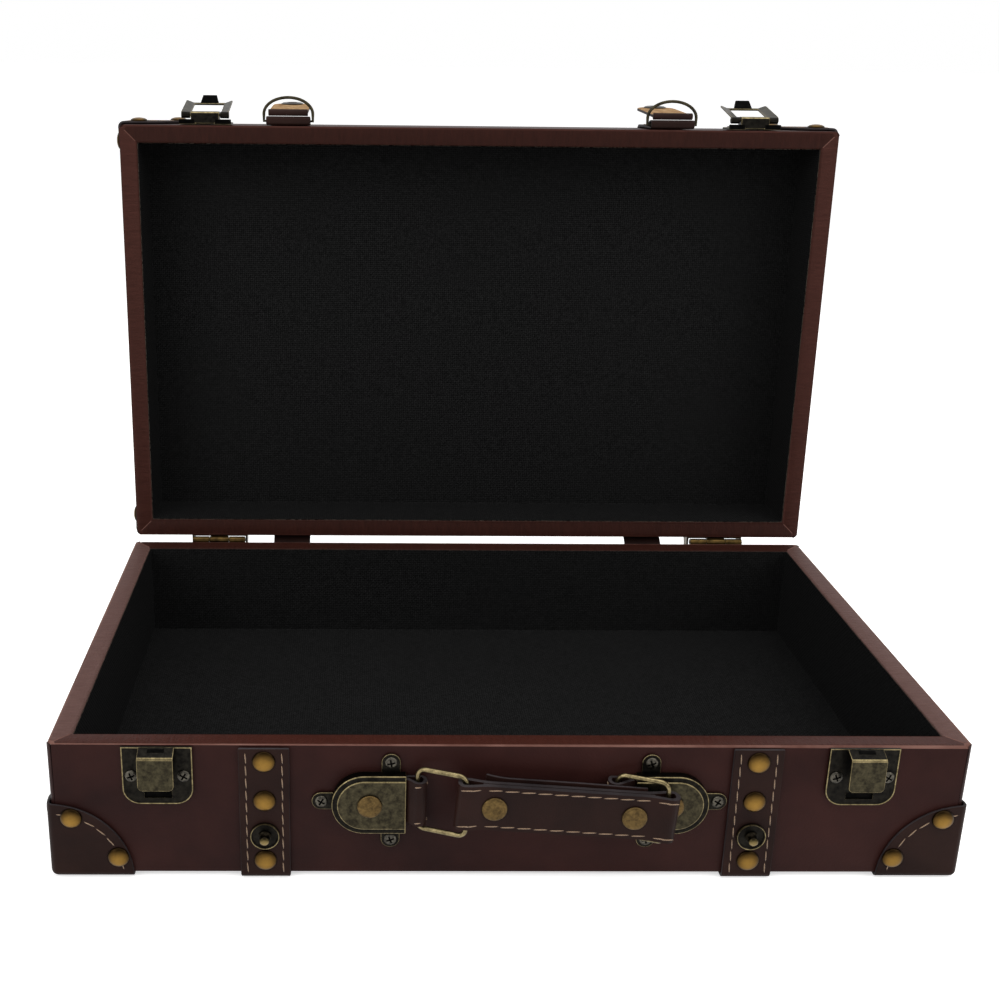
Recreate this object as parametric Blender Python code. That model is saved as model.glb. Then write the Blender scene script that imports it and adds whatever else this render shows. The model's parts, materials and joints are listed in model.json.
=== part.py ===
# Small wooden suitcase box, leathercloth over board, shown with its lid standing open.
# X runs along the width, -Y is the front with the handle, Z is up; the straps rest on Z = 0.
# The origin lies under the middle of the whole open box, and the tray's middle in front of it.
# Everything on the lid is drawn as if the lid were shut and is then turned about the hinge line.

import math

import bmesh
import bpy
from mathutils import Matrix, Vector

# Driving sizes of the box
BOX_WIDTH = 0.375
BOX_DEPTH = 0.224
BASE_HEIGHT = 0.060
LID_HEIGHT = 0.040
BASE_FLOOR = 0.0099
LID_PANEL = 0.0070
WALL = 0.0090
SEAM_GAP = 0.0006
LID_OPEN = math.radians(92)
TRAY_FORWARD = 0.0251

# Sheet goods and fits
COVER = 0.0009
LINING = 0.0009
FIT = 0.0003
CORNER_RADIUS = 0.0030
LINING_RADIUS = 0.0010
EDGE_ROUND = 0.0012
CORNER_STEPS = 3

# Leather trim
STRAP_WIDTH = 0.0205
STRAP_LEATHER = 0.0015
STRAP_PLACE_SHARE = 8 / 15
STRAP_TOP_DROP = 0.0008
STRAP_BACK_DROP = 0.0120
STRAP_LID_RISE = 0.0125
BRIDGE_STEPS = 8
BEND_SHARES = (0, 0.35, 0.65, 1)
PATCH_RADIUS = 0.0340
PATCH_LEATHER = 0.0012
PATCH_EDGE = 0.0019

# Domed nails and snap studs
NAIL_RADIUS = 0.0045
NAIL_RISE = 0.0018
DOME_SHARE = 0.7
PATCH_NAIL_RADIUS = 0.0043
PATCH_NAIL_HIGH = 0.0270
PATCH_NAIL_LOW = 0.0086
NAIL_FOOT = 0.0075
NAIL_DROPS = (0.0065, 0.0245, BASE_HEIGHT - NAIL_FOOT)
STUD_FOOT = 0.0193
STUD_DROP = BASE_HEIGHT - STUD_FOOT
STUD_FLANGE_RADIUS = 0.0060
STUD_FLANGE_RISE = 0.0012
STUD_COLLAR_RADIUS = 0.0031
STUD_POST_RADIUS = 0.0018
STUD_POST_TOP = 0.0066
STUD_RIM_SHARE = 0.85
STUD_DIP_SHARE = 0.65
STUD_HEAD_RADIUS = 0.0020

# Screws
SCREW_RADIUS = 0.0026
SCREW_RISE = 0.0010

# Latches
LATCH_INSET = 0.0445
PLATE = 0.0010
KEEPER_WIDTH = 0.0285
KEEPER_HEIGHT = 0.0260
KEEPER_ROUND = 0.0070
KEEPER_DROP = 0.0004
KEEPER_SCREW_X = 0.0106
KEEPER_SCREW_DROP = 0.0135
TONGUE_WIDTH = 0.0145
TONGUE_FRONT_TOP = 0.0024
TONGUE_FRONT_BOTTOM = 0.0172
TONGUE_REACH = 0.0064
TONGUE_SHEET = 0.0009
TONGUE_ROUND = 0.0022
TONGUE_SLOT_WIDTH = 0.0066
TONGUE_SLOT_LENGTH = 0.0015
TONGUE_SLOT_NEAR = 0.0021
CATCH_SLOT_WIDTH = 0.0100
CATCH_SLOT_TOP = 0.0220
CATCH_SLOT_HEIGHT = 0.0024
LATCH_PLATE_WIDTH = 0.0270
LATCH_PLATE_HEIGHT = 0.0200
LATCH_PLATE_ROUND = 0.0070
LATCH_FOOT_GAP = 0.0096
LATCH_FOOT_RISE = 0.0030
LATCH_SCREW_X = 0.0098
LATCH_SCREW_RISE = 0.0105
BLOCK_WIDTH = 0.0146
BLOCK_NEAR = 0.0010
BLOCK_FAR = 0.0072
BLOCK_TOP = 0.0068
BLOCK_ROUND = 0.0016
HASP_PIN_RISE = 0.0036
HASP_PIN_OUT = 0.0050
HASP_PIN_RADIUS = 0.0008
HASP_PIN_HOLE = 0.0010
HASP_WIDTH = 0.0246
HASP_WINDOW_WIDTH = 0.0156
HASP_REACH = 0.0245
HASP_BAR = 0.0020
HASP_CORNER = 0.0012
HASP_EAR_RADIUS = 0.0017
HASP_CATCH_ROOT = 0.0100
HASP_CATCH_TIP = 0.0073
HASP_CATCH_LENGTH = 0.0052
HASP_CATCH_TURN = math.radians(44)
HASP_REST = math.radians(167)

# Hinges
HINGE_INSET = 0.0465
HINGE_WIDTH = 0.0300
HINGE_OFFSET = 0.0025
HINGE_LEAF_NEAR = 0.0030
HINGE_LEAF_FAR = 0.0145
HINGE_LEAF = 0.0010
KNUCKLE_RADIUS = 0.0019
KNUCKLE_HOLE = 0.0011
HINGE_PIN_RADIUS = 0.0009
KNUCKLE_MIDDLE = 0.0112
STOP_EAR = 0.0010
STOP_EAR_REACH = 0.0080
STOP_EAR_NEAR = 0.0046
STOP_EAR_TOP = 0.0118
STOP_EAR_CUT = 0.0030
STOP_EAR_LAP = 0.0004
KNUCKLE_END = 0.0004
STOP_SLACK = math.radians(1.2)
LEAF_SCREW_X = 0.0090
LEAF_SCREW_OFF = 0.0100

# Handle end caps
CAP_LEFT_OFF = 0.0575
CAP_RIGHT_OFF = 0.0495
CAP_DROP = 0.0250
CAP_LENGTH = 0.0303
CAP_HEIGHT = 0.0266
CAP_SHEET = 0.0008
CAP_SKIRT = 0.0045
CAP_TOP = 0.0058
CAP_STEP = 0.0022
CAP_CHAMFER = 0.0005
CAP_RIVET_IN = 0.0148
CAP_RIVET_HOLE = 0.0022
CAP_MOUTH_HEIGHT = 0.0248
CAP_ARC_STEPS = 14
LUG_WIDTH = 0.0077
LUG_IN = 0.0062
LUG_UP = 0.0178
LUG_OUT = 0.0345
LUG_SHEET = 0.0009
RIVET_RADIUS = 0.0051
RIVET_RISE = 0.0009
RIVET_SHANK = 0.0018
RIVET_CROWN = 0.0003

# Leather tabs, wire rings and the handle
TAB_WIDTH = 0.0204
TAB_LEATHER = 0.0017
TAB_DROP = 0.0232
TAB_IN = 0.0185
LEFT_BAR_IN = 0.0045
RIGHT_BAR_IN = 0.0077
TAB_BAR_OUT = 0.0040
TAB_EYE_RADIUS = 0.0018
TAB_EYE_SHIFT = 0.0004
TAB_EYE_TIP = 0.0014
RING_WIRE = 0.0010
RING_REACH = 0.0204
RING_HEIGHT = 0.0272
RING_CORNER = 0.0033
RING_OUT = math.radians(20)
LEFT_RING_DROP = 0.0216
RIGHT_RING_DROP = 0.0242
LEFT_LOOP_DROP = 0.0201
RIGHT_LOOP_DROP = 0.0260
HANDLE_WIDTH = 0.0202
HANDLE_LEATHER = 0.0018
HANDLE_EYE_RADIUS = 0.0016
HANDLE_EYE_SHIFT = 0.0008
HANDLE_EYE_TAIL = 0.0070
HANDLE_BODY_HALF = 0.0019
HANDLE_RIVET_LEFT = 0.0112
HANDLE_RIVET_RIGHT = 0.0134
HANDLE_RIVET_HOLE = 0.0021
RIVET_BACK_RADIUS = 0.0036
RIVET_BACK_RISE = 0.0006

# Buckled strap ends on the lid
CHAPE_WIDTH = 0.0228
CHAPE_NEAR = 0.0008
CHAPE_FAR = 0.0105
CHAPE_RISE = 0.0044
CHAPE_EYE = 0.0011
HOOP_WIRE = 0.0008
HOOP_BAR_RISE = 0.0046
HOOP_BAR_OUT = 0.0020
HOOP_WIDTH = 0.0254
HOOP_REACH = 0.0118
HOOP_LEG = 0.0036
HOOP_STEPS = 12
FLAP_RISE = 0.0030
FLAP_OUT = 0.0066
FLAP_WIDTH = 0.0205
FLAP_LENGTH = 0.0506
FLAP_LEATHER = 0.0020
FLAP_ROOT_RADIUS = 0.0017
FLAP_TIP_STEPS = 10
FLAP_HOLE = 0.0036
FLAP_REST = math.radians(176)
SOCKET_RING_RADIUS = 0.0060
SOCKET_RING_RISE = 0.0006
SOCKET_BARREL = 0.0033
SOCKET_BORE = 0.0024
SOCKET_CAP_RADIUS = 0.0063
SOCKET_CAP_RISE = 0.0010

# Levels and lines that follow from the sizes above
UNDERSIDE = STRAP_LEATHER + FIT
RIM = UNDERSIDE + BASE_HEIGHT
LID_RIM = RIM + SEAM_GAP
LID_TOP = LID_RIM + LID_HEIGHT
FRONT = -BOX_DEPTH / 2
BACK = BOX_DEPTH / 2
SIDE = BOX_WIDTH / 2
STRAP_X = SIDE * STRAP_PLACE_SHARE
LATCH_X = SIDE - LATCH_INSET
HINGE_X = SIDE - HINGE_INSET
CAP_LEFT_X = CAP_LEFT_OFF - STRAP_X
CAP_RIGHT_X = STRAP_X - CAP_RIGHT_OFF
HINGE_Y = BACK + HINGE_OFFSET
HINGE_Z = RIM + SEAM_GAP / 2
BOARD_INSET = COVER + FIT
LINING_INSET = WALL - LINING
WALL_BOARD_INNER = LINING_INSET - FIT
TRIM_TOP = FIT + STRAP_LEATHER
TURN_FRONT = Matrix.Rotation(math.pi / 2, 4, "X")
TURN_BACK = Matrix.Rotation(math.pi, 4, "Z") @ TURN_FRONT

# Each finish is a colour, a metallic value and a roughness
LEATHER = ((0.060, 0.020, 0.016), 0, 0.45)
TRIM = ((0.028, 0.014, 0.013), 0, 0.50)
CLOTH = ((0.010, 0.010, 0.010), 0, 0.90)
BOARD = ((0.360, 0.230, 0.120), 0, 0.70)
BRONZE = ((0.130, 0.105, 0.060), 1, 0.42)
BRASS = ((0.480, 0.290, 0.100), 1, 0.35)


def start_clean():
    for item in list(bpy.data.objects):
        bpy.data.objects.remove(item, do_unlink=True)
    part = bpy.data.collections.new("suitcase_box")
    tools = bpy.data.collections.new("cutting_shapes")
    bpy.context.scene.collection.children.link(part)
    bpy.context.scene.collection.children.link(tools)
    return part, tools


def own_material(name, colour, metallic, roughness):
    material = bpy.data.materials.new(name)
    material.use_nodes = True
    shader = material.node_tree.nodes["Principled BSDF"]
    shader.inputs["Base Color"].default_value = (*colour, 1.0)
    shader.inputs["Metallic"].default_value = metallic
    shader.inputs["Roughness"].default_value = roughness
    return material


def to_mesh(bm, name):
    bmesh.ops.remove_doubles(bm, verts=bm.verts[:], dist=FIT / 100)
    bmesh.ops.recalc_face_normals(bm, faces=bm.faces[:])
    mesh = bpy.data.meshes.new(name)
    bm.to_mesh(mesh)
    bm.free()
    return mesh


def node(name, bm, finish, parent=None, place=None):
    colour, metallic, roughness = finish
    mesh = to_mesh(bm, name)
    mesh.materials.append(own_material(name, colour, metallic, roughness))
    item = bpy.data.objects.new(name, mesh)
    part_pieces.objects.link(item)
    item.parent = parent or tray_middle
    if place is not None:
        item.matrix_local = place
    return item


def pivot(name, parent, place):
    empty = bpy.data.objects.new(name, None)
    part_pieces.objects.link(empty)
    empty.parent = parent
    empty.matrix_local = place
    return empty


def shape(item, bm, operation):
    tool = bpy.data.objects.new(f"{item.name}_{operation.lower()}", to_mesh(bm, item.name))
    cutting_shapes.objects.link(tool)
    tool.parent = item
    tool.hide_render = True
    tool.display_type = "WIRE"
    change = item.modifiers.new(operation.title(), "BOOLEAN")
    change.operation = operation
    change.solver = "EXACT"
    change.object = tool


def smooth(item, angle=math.radians(40)):
    item.data.shade_smooth()
    item.data.set_sharp_from_angle(angle=angle)


# Loops, lofts and flat sheets

def rounded_loop(half_x, half_y, radius, z, steps=CORNER_STEPS):
    points = []
    for turn, (side_x, side_y) in enumerate(((1, 1), (-1, 1), (-1, -1), (1, -1))):
        centre = Vector((side_x * (half_x - radius), side_y * (half_y - radius), z))
        for step in range(steps + 1):
            angle = (turn + step / steps) * math.pi / 2
            points.append(centre + radius * Vector((math.cos(angle), math.sin(angle), 0)))
    return points


def loft(loops, closed_round=False):
    bm = bmesh.new()
    rows = [[bm.verts.new(point) for point in loop] for loop in loops]
    pairs = list(zip(rows, rows[1:]))
    if closed_round:
        pairs.append((rows[-1], rows[0]))
    else:
        bm.faces.new(rows[0])
        bm.faces.new(list(reversed(rows[-1])))
    for low, high in pairs:
        count = len(low)
        for index in range(count):
            after = (index + 1) % count
            bm.faces.new((low[index], low[after], high[after], high[index]))
    return bm


def flat_sheet(outlines, low, high):
    drawing = bpy.data.curves.new("outline", "CURVE")
    drawing.dimensions = "2D"
    drawing.fill_mode = "BOTH"
    drawing.extrude = (high - low) / 2
    for outline in outlines:
        spline = drawing.splines.new("POLY")
        spline.points.add(len(outline) - 1)
        spline.use_cyclic_u = True
        for point, (x, y) in zip(spline.points, outline):
            point.co = (x, y, 0, 1)
    bm = curve_to_bmesh(drawing)
    bmesh.ops.translate(bm, verts=bm.verts[:], vec=(0, 0, (high + low) / 2))
    return bm


def bent_wire(points, radius):
    drawing = bpy.data.curves.new("wire", "CURVE")
    drawing.dimensions = "3D"
    drawing.bevel_depth = radius
    drawing.bevel_resolution = 1
    drawing.use_fill_caps = True
    spline = drawing.splines.new("POLY")
    spline.points.add(len(points) - 1)
    spline.use_cyclic_u = True
    for point, place in zip(spline.points, points):
        point.co = (*place, 1)
    return curve_to_bmesh(drawing)


def curve_to_bmesh(drawing):
    holder = bpy.data.objects.new("drawing", drawing)
    bpy.context.scene.collection.objects.link(holder)
    bpy.context.view_layer.update()
    seen = holder.evaluated_get(bpy.context.evaluated_depsgraph_get())
    mesh = bpy.data.meshes.new_from_object(seen)
    bpy.data.objects.remove(holder, do_unlink=True)
    bm = bmesh.new()
    bm.from_mesh(mesh)
    bmesh.ops.remove_doubles(bm, verts=bm.verts[:], dist=FIT / 100)
    return bm


def turned(profile, steps=12):
    bm = bmesh.new()
    verts = [bm.verts.new((radius, 0, height)) for radius, height in profile]
    pairs = [(low, high) for low, high in zip(verts, verts[1:]) if low.co.x or high.co.x]
    edges = [bm.edges.new(pair) for pair in pairs]
    bmesh.ops.spin(bm, geom=verts + edges, cent=(0, 0, 0), axis=(0, 0, 1), angle=2 * math.pi,
                   steps=steps, use_merge=True)
    bmesh.ops.remove_doubles(bm, verts=bm.verts[:], dist=FIT / 100)
    return bm


def moved(bm, matrix):
    bmesh.ops.transform(bm, matrix=matrix, verts=bm.verts[:])
    return bm


def gathered(*pieces):
    whole = bmesh.new()
    for piece in pieces:
        mesh = bpy.data.meshes.new("gathered")
        bmesh.ops.recalc_face_normals(piece, faces=piece.faces[:])
        piece.to_mesh(mesh)
        piece.free()
        whole.from_mesh(mesh)
        bpy.data.meshes.remove(mesh)
    return whole


def block(low, high):
    bm = bmesh.new()
    middle = [(a + b) / 2 for a, b in zip(low, high)]
    size = [b - a for a, b in zip(low, high)]
    bmesh.ops.create_cube(bm, size=1, matrix=Matrix.Translation(middle) @ Matrix.Diagonal((*size, 1)))
    return bm


def arc(centre, radius, start, end, steps):
    points = []
    for step in range(steps + 1):
        angle = math.radians(start + (end - start) * step / steps)
        points.append((centre[0] + radius * math.cos(angle), centre[1] + radius * math.sin(angle)))
    return points


def circle(centre, radius, steps=12):
    return arc(centre, radius, 0, 360 * (steps - 1) / steps, steps - 1)


def rod(radius, low, high, steps=12):
    return turned(((0, low), (radius, low), (radius, high), (0, high)), steps)


def along_x(matrix=Matrix.Identity(4)):
    return matrix @ Matrix.Rotation(math.pi / 2, 4, "Y")


def upright_band(outlines, width):
    # Outlines drawn in (Y, Z) become a solid that runs the given width along X
    bm = flat_sheet(outlines, -width / 2, width / 2)
    return moved(bm, Matrix.Rotation(math.pi / 2, 4, "Z") @ Matrix.Rotation(math.pi / 2, 4, "X"))


def dome(radius, rise, base=0.0):
    shoulder = rise * (1 - DOME_SHARE)
    return turned(((0, base), (radius, base), (radius, base + shoulder),
                   (radius * DOME_SHARE, base + rise - shoulder / 2), (0, base + rise)), 10)


# Trays: cover, wall boards, flat board and lining

def tray_levels(is_lid):
    height = LID_HEIGHT if is_lid else BASE_HEIGHT
    if is_lid:
        return height, lambda level: LID_TOP - level
    return height, lambda level: UNDERSIDE + level


def tray_loop(inset, radius, z):
    return rounded_loop(SIDE - inset, BACK - inset, radius, z)


def tray_cover(name, is_lid, parent, place):
    height, at = tray_levels(is_lid)
    outer = CORNER_RADIUS
    half_round = EDGE_ROUND * (1 - math.sqrt(0.5))
    loops = [tray_loop(EDGE_ROUND, outer - EDGE_ROUND, at(0)),
             tray_loop(half_round, outer - half_round, at(half_round)),
             tray_loop(0, outer, at(EDGE_ROUND)),
             tray_loop(0, outer, at(height - EDGE_ROUND)),
             tray_loop(half_round, outer - half_round, at(height - half_round)),
             tray_loop(EDGE_ROUND, outer - EDGE_ROUND, at(height)),
             tray_loop(WALL - FIT, LINING_RADIUS + FIT, at(height)),
             tray_loop(WALL, LINING_RADIUS, at(height - FIT)),
             tray_loop(WALL, LINING_RADIUS, at(height - COVER)),
             tray_loop(COVER, outer - COVER, at(height - COVER)),
             tray_loop(COVER, outer - COVER, at(COVER))]
    return node(name, loft(loops), LEATHER, parent, place)


def tray_frame(name, is_lid, parent, place):
    height, at = tray_levels(is_lid)
    radius = CORNER_RADIUS - BOARD_INSET
    levels = (at(BOARD_INSET), at(height - BOARD_INSET))
    loops = [tray_loop(BOARD_INSET, radius, levels[0]), tray_loop(BOARD_INSET, radius, levels[1]),
             tray_loop(WALL_BOARD_INNER, LINING_RADIUS, levels[1]),
             tray_loop(WALL_BOARD_INNER, LINING_RADIUS, levels[0])]
    return node(name, loft(loops, closed_round=True), BOARD, parent, place)


def tray_board(name, is_lid, parent, place):
    at = tray_levels(is_lid)[1]
    floor = LID_PANEL if is_lid else BASE_FLOOR
    loops = [tray_loop(LINING_INSET, LINING_RADIUS, at(BOARD_INSET)),
             tray_loop(LINING_INSET, LINING_RADIUS, at(floor - LINING - FIT))]
    return node(name, loft(loops), BOARD, parent, place)


def tray_lining(name, is_lid, parent, place):
    height, at = tray_levels(is_lid)
    floor = LID_PANEL if is_lid else BASE_FLOOR
    top = height - COVER - FIT
    loops = [tray_loop(LINING_INSET, LINING_RADIUS + LINING, at(floor - LINING)),
             tray_loop(LINING_INSET, LINING_RADIUS + LINING, at(top)),
             tray_loop(WALL, LINING_RADIUS, at(top)),
             tray_loop(WALL, LINING_RADIUS, at(floor))]
    return node(name, loft(loops), CLOTH, parent, place)


def tray(name, is_lid, parent=None, place=None):
    tray_cover(f"{name}_leather_cover", is_lid, parent, place)
    tray_frame(f"{name}_wall_boards", is_lid, parent, place)
    tray_board(f"{name}_{'top' if is_lid else 'bottom'}_board", is_lid, parent, place)
    tray_lining(f"{name}_fabric_lining", is_lid, parent, place)


# Corner patches: one leather cup that wraps three faces, with two nails on each upright face

def corner_cube(offset, edge):
    reach = PATCH_RADIUS * 2
    bm = block((-offset, -offset, -offset), (reach, reach, reach))
    corner = Vector((-offset, -offset, -offset))
    edges = [line for line in bm.edges if any((vert.co - corner).length < FIT / 10 for vert in line.verts)]
    bmesh.ops.bevel(bm, geom=edges, offset=edge, segments=2, profile=0.5, affect="EDGES")
    return bm


def patch_nail(across, up):
    # A nail on the face that looks along -Y, and its twin on the face that looks along -X
    rise = FIT + PATCH_LEATHER / 2
    nail = dome(PATCH_NAIL_RADIUS, NAIL_RISE + PATCH_LEATHER / 2, rise)
    moved(nail, Matrix.Translation((across, 0, up)) @ TURN_FRONT)
    twin = dome(PATCH_NAIL_RADIUS, NAIL_RISE + PATCH_LEATHER / 2, rise)
    moved(twin, Matrix.Translation((0, across, up)) @ Matrix.Rotation(-math.pi / 2, 4, "Y"))
    return nail, twin


def corner_patch(name, parent, place):
    cup = node(name, corner_cube(FIT + PATCH_LEATHER, PATCH_EDGE + PATCH_LEATHER),
               TRIM, parent, place)
    shape(cup, corner_cube(FIT, PATCH_EDGE), "DIFFERENCE")
    ball = bmesh.new()
    bmesh.ops.create_uvsphere(ball, u_segments=24, v_segments=24, radius=PATCH_RADIUS)
    shape(cup, ball, "INTERSECT")
    nails = patch_nail(PATCH_NAIL_LOW, PATCH_NAIL_HIGH) + patch_nail(PATCH_NAIL_HIGH, PATCH_NAIL_LOW)
    shape(cup, gathered(*nails), "UNION")


def corner_patches():
    quarter = math.pi / 2
    names = ("front_left", "front_right", "back_right", "back_left")
    corners = ((-SIDE, FRONT), (SIDE, FRONT), (SIDE, BACK), (-SIDE, BACK))
    for turn, (side, (x, y)) in enumerate(zip(names, corners)):
        spin = Matrix.Rotation(turn * quarter, 4, "Z")
        corner_patch(f"base_corner_{side}", None, Matrix.Translation((x, y, UNDERSIDE)) @ spin)
        flip = Matrix.Rotation(math.pi, 4, "X") @ Matrix.Rotation(quarter, 4, "Z")
        spin = Matrix.Rotation(turn * quarter, 4, "Z") @ Matrix.Rotation(math.pi, 4, "Z") @ flip
        corner_patch(f"lid_corner_{side}", lid_axis, from_lid(Matrix.Translation((x, y, LID_TOP)) @ spin))


# Straps

def band_outline(path, near, far):
    # The path runs along the box surface, turned so that the outside lies on its left hand
    outline = []
    for offset, order in ((near, 1), (far, -1)):
        side = []
        for index, (y, z) in enumerate(path):
            ahead = None if index == len(path) - 1 else Vector(path[index + 1]) - Vector((y, z))
            behind = None if index == 0 else Vector((y, z)) - Vector(path[index - 1])
            normals = [Vector((-way.y, way.x)).normalized() for way in (behind, ahead) if way]
            if len(normals) == 1:
                side.append(tuple(Vector((y, z)) + offset * normals[0]))
                continue
            centre = Vector((y, z)) - EDGE_ROUND * (normals[0] + normals[1])
            for share in BEND_SHARES:
                way = normals[0].lerp(normals[1], share).normalized()
                side.append(tuple(centre + (EDGE_ROUND + offset) * way))
        outline.extend(side[::order])
    return outline


def strap_nails(drops, z_top):
    nails = []
    for drop in drops:
        nail = dome(NAIL_RADIUS, NAIL_RISE + STRAP_LEATHER / 2, FIT + STRAP_LEATHER / 2)
        nails.append(moved(nail, Matrix.Translation((0, FRONT, z_top - drop)) @ TURN_FRONT))
    return nails


def base_strap(side, x):
    path = ((BACK, RIM - STRAP_BACK_DROP), (BACK, UNDERSIDE), (FRONT, UNDERSIDE),
            (FRONT, RIM - STRAP_TOP_DROP))
    outline = band_outline([(y, z) for y, z in reversed(path)], -TRIM_TOP, -FIT)
    strap = node(f"base_strap_{side}", upright_band([outline], STRAP_WIDTH), TRIM,
                 None, Matrix.Translation((x, 0, 0)))
    shape(strap, gathered(*strap_nails(NAIL_DROPS, RIM)), "UNION")


def lid_strap(side, x):
    path = ((FRONT, LID_RIM + CHAPE_FAR + FIT), (FRONT, LID_TOP), (BACK, LID_TOP),
            (BACK, LID_RIM + STRAP_LID_RISE))
    outline = band_outline(path, FIT, TRIM_TOP)
    node(f"lid_strap_{side}", upright_band([outline], STRAP_WIDTH), TRIM,
         lid_axis, from_lid(Matrix.Translation((x, 0, 0))))


def strap_bridge(side, x):
    # The stretch behind the hinge line hangs in a quarter bend while the lid stands open
    start = Vector((BACK + FIT, RIM - STRAP_BACK_DROP + FIT))
    turn = lid_turn @ Vector((0, TRIM_TOP / 2 - HINGE_OFFSET, STRAP_LID_RISE - SEAM_GAP / 2 - FIT))
    end = Vector((HINGE_Y + turn.y, HINGE_Z + turn.z))
    reach = end - start
    outline = []
    for offset, order in ((-STRAP_LEATHER / 2, 1), (STRAP_LEATHER / 2, -1)):
        side_points = []
        for step in range(BRIDGE_STEPS + 1):
            angle = math.pi / 2 * step / BRIDGE_STEPS
            y = start.x + STRAP_LEATHER / 2 + (reach.x - STRAP_LEATHER / 2) * (1 - math.cos(angle))
            z = start.y + reach.y * math.sin(angle)
            way = Vector((-math.cos(angle), math.sin(angle)))
            side_points.append((y + offset * way.x, z + offset * way.y))
        outline.extend(side_points[::order])
    node(f"strap_bridge_{side}", upright_band([outline], STRAP_WIDTH), TRIM,
         None, Matrix.Translation((x, 0, 0)))


def snap_stud(side, x):
    base = TRIM_TOP + FIT
    flange_top = base + STUD_FLANGE_RISE
    profile = ((0, base), (STUD_FLANGE_RADIUS, base), (STUD_FLANGE_RADIUS, base + STUD_FLANGE_RISE / 2),
               (STUD_FLANGE_RADIUS * STUD_RIM_SHARE, flange_top),
               (STUD_FLANGE_RADIUS * STUD_DIP_SHARE, base + STUD_FLANGE_RISE / 2),
               (STUD_COLLAR_RADIUS, base + STUD_FLANGE_RISE / 2), (STUD_COLLAR_RADIUS, flange_top),
               (STUD_POST_RADIUS, flange_top), (STUD_POST_RADIUS, STUD_POST_TOP - STUD_POST_RADIUS),
               (STUD_HEAD_RADIUS, STUD_POST_TOP - STUD_POST_RADIUS / 2),
               (STUD_POST_RADIUS / 2, STUD_POST_TOP),
               (0, STUD_POST_TOP))
    stud = node(f"snap_stud_{side}", turned(profile, 14), BRASS, None,
                Matrix.Translation((x, FRONT, RIM - STUD_DROP)) @ TURN_FRONT)
    smooth(stud)


# Latches

def screws(places, base):
    return gathered(*[moved(dome(SCREW_RADIUS, SCREW_RISE + PLATE / 2, base), Matrix.Translation((x, y, 0)))
                      for x, y in places])


def keeper(side, x):
    half = KEEPER_WIDTH / 2
    low = -KEEPER_DROP - KEEPER_HEIGHT
    outline = [(half, -KEEPER_DROP), (-half, -KEEPER_DROP)]
    outline += arc((-half + KEEPER_ROUND, low + KEEPER_ROUND), KEEPER_ROUND, 180, 270, 5)
    outline += arc((half - KEEPER_ROUND, low + KEEPER_ROUND), KEEPER_ROUND, 270, 360, 5)
    slot_half = CATCH_SLOT_WIDTH / 2
    slot_low = -CATCH_SLOT_TOP - CATCH_SLOT_HEIGHT
    slot = [(-slot_half, slot_low), (slot_half, slot_low),
            (slot_half, -CATCH_SLOT_TOP), (-slot_half, -CATCH_SLOT_TOP)]
    plate = node(f"latch_keeper_{side}", flat_sheet([outline, slot], FIT, FIT + PLATE),
                 BRONZE, None, Matrix.Translation((x, FRONT, RIM)) @ TURN_FRONT)
    # The tongue slopes out from the top edge of the plate and hangs down like a duck bill
    out = TONGUE_REACH
    sheet = TONGUE_SHEET
    root = FIT + PLATE / 2
    bill = [(root, -KEEPER_DROP), (out, -TONGUE_FRONT_TOP), (out + FIT, -TONGUE_FRONT_BOTTOM),
            (out + FIT - sheet, -TONGUE_FRONT_BOTTOM), (out - sheet, -TONGUE_FRONT_TOP - sheet),
            (root, -KEEPER_DROP - sheet)]
    tongue = flat_sheet([bill], -TONGUE_WIDTH / 2, TONGUE_WIDTH / 2)
    on_edge = Matrix(((0, 0, 1, 0), (0, 1, 0, 0), (-1, 0, 0, 0), (0, 0, 0, 1)))
    moved(tongue, on_edge @ Matrix.Scale(-1, 4, (1, 0, 0)))
    edges = [line for line in tongue.edges if is_bill_corner(line)]
    bmesh.ops.bevel(tongue, geom=edges, offset=TONGUE_ROUND, segments=3, profile=0.5, affect="EDGES")
    shape(plate, tongue, "UNION")
    slot = block((-TONGUE_SLOT_WIDTH / 2, -TONGUE_FRONT_TOP * 2, TONGUE_SLOT_NEAR),
                 (TONGUE_SLOT_WIDTH / 2, KEEPER_DROP, TONGUE_SLOT_NEAR + TONGUE_SLOT_LENGTH))
    shape(plate, slot, "DIFFERENCE")
    shape(plate, screws(((-KEEPER_SCREW_X, -KEEPER_SCREW_DROP), (KEEPER_SCREW_X, -KEEPER_SCREW_DROP)),
                        FIT + PLATE / 2), "UNION")


def is_bill_corner(line):
    ends = [vert.co for vert in line.verts]
    low = all(end.y < -TONGUE_FRONT_BOTTOM + FIT / 2 for end in ends)
    return low and abs(ends[0].x - ends[1].x) < FIT / 10


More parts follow.
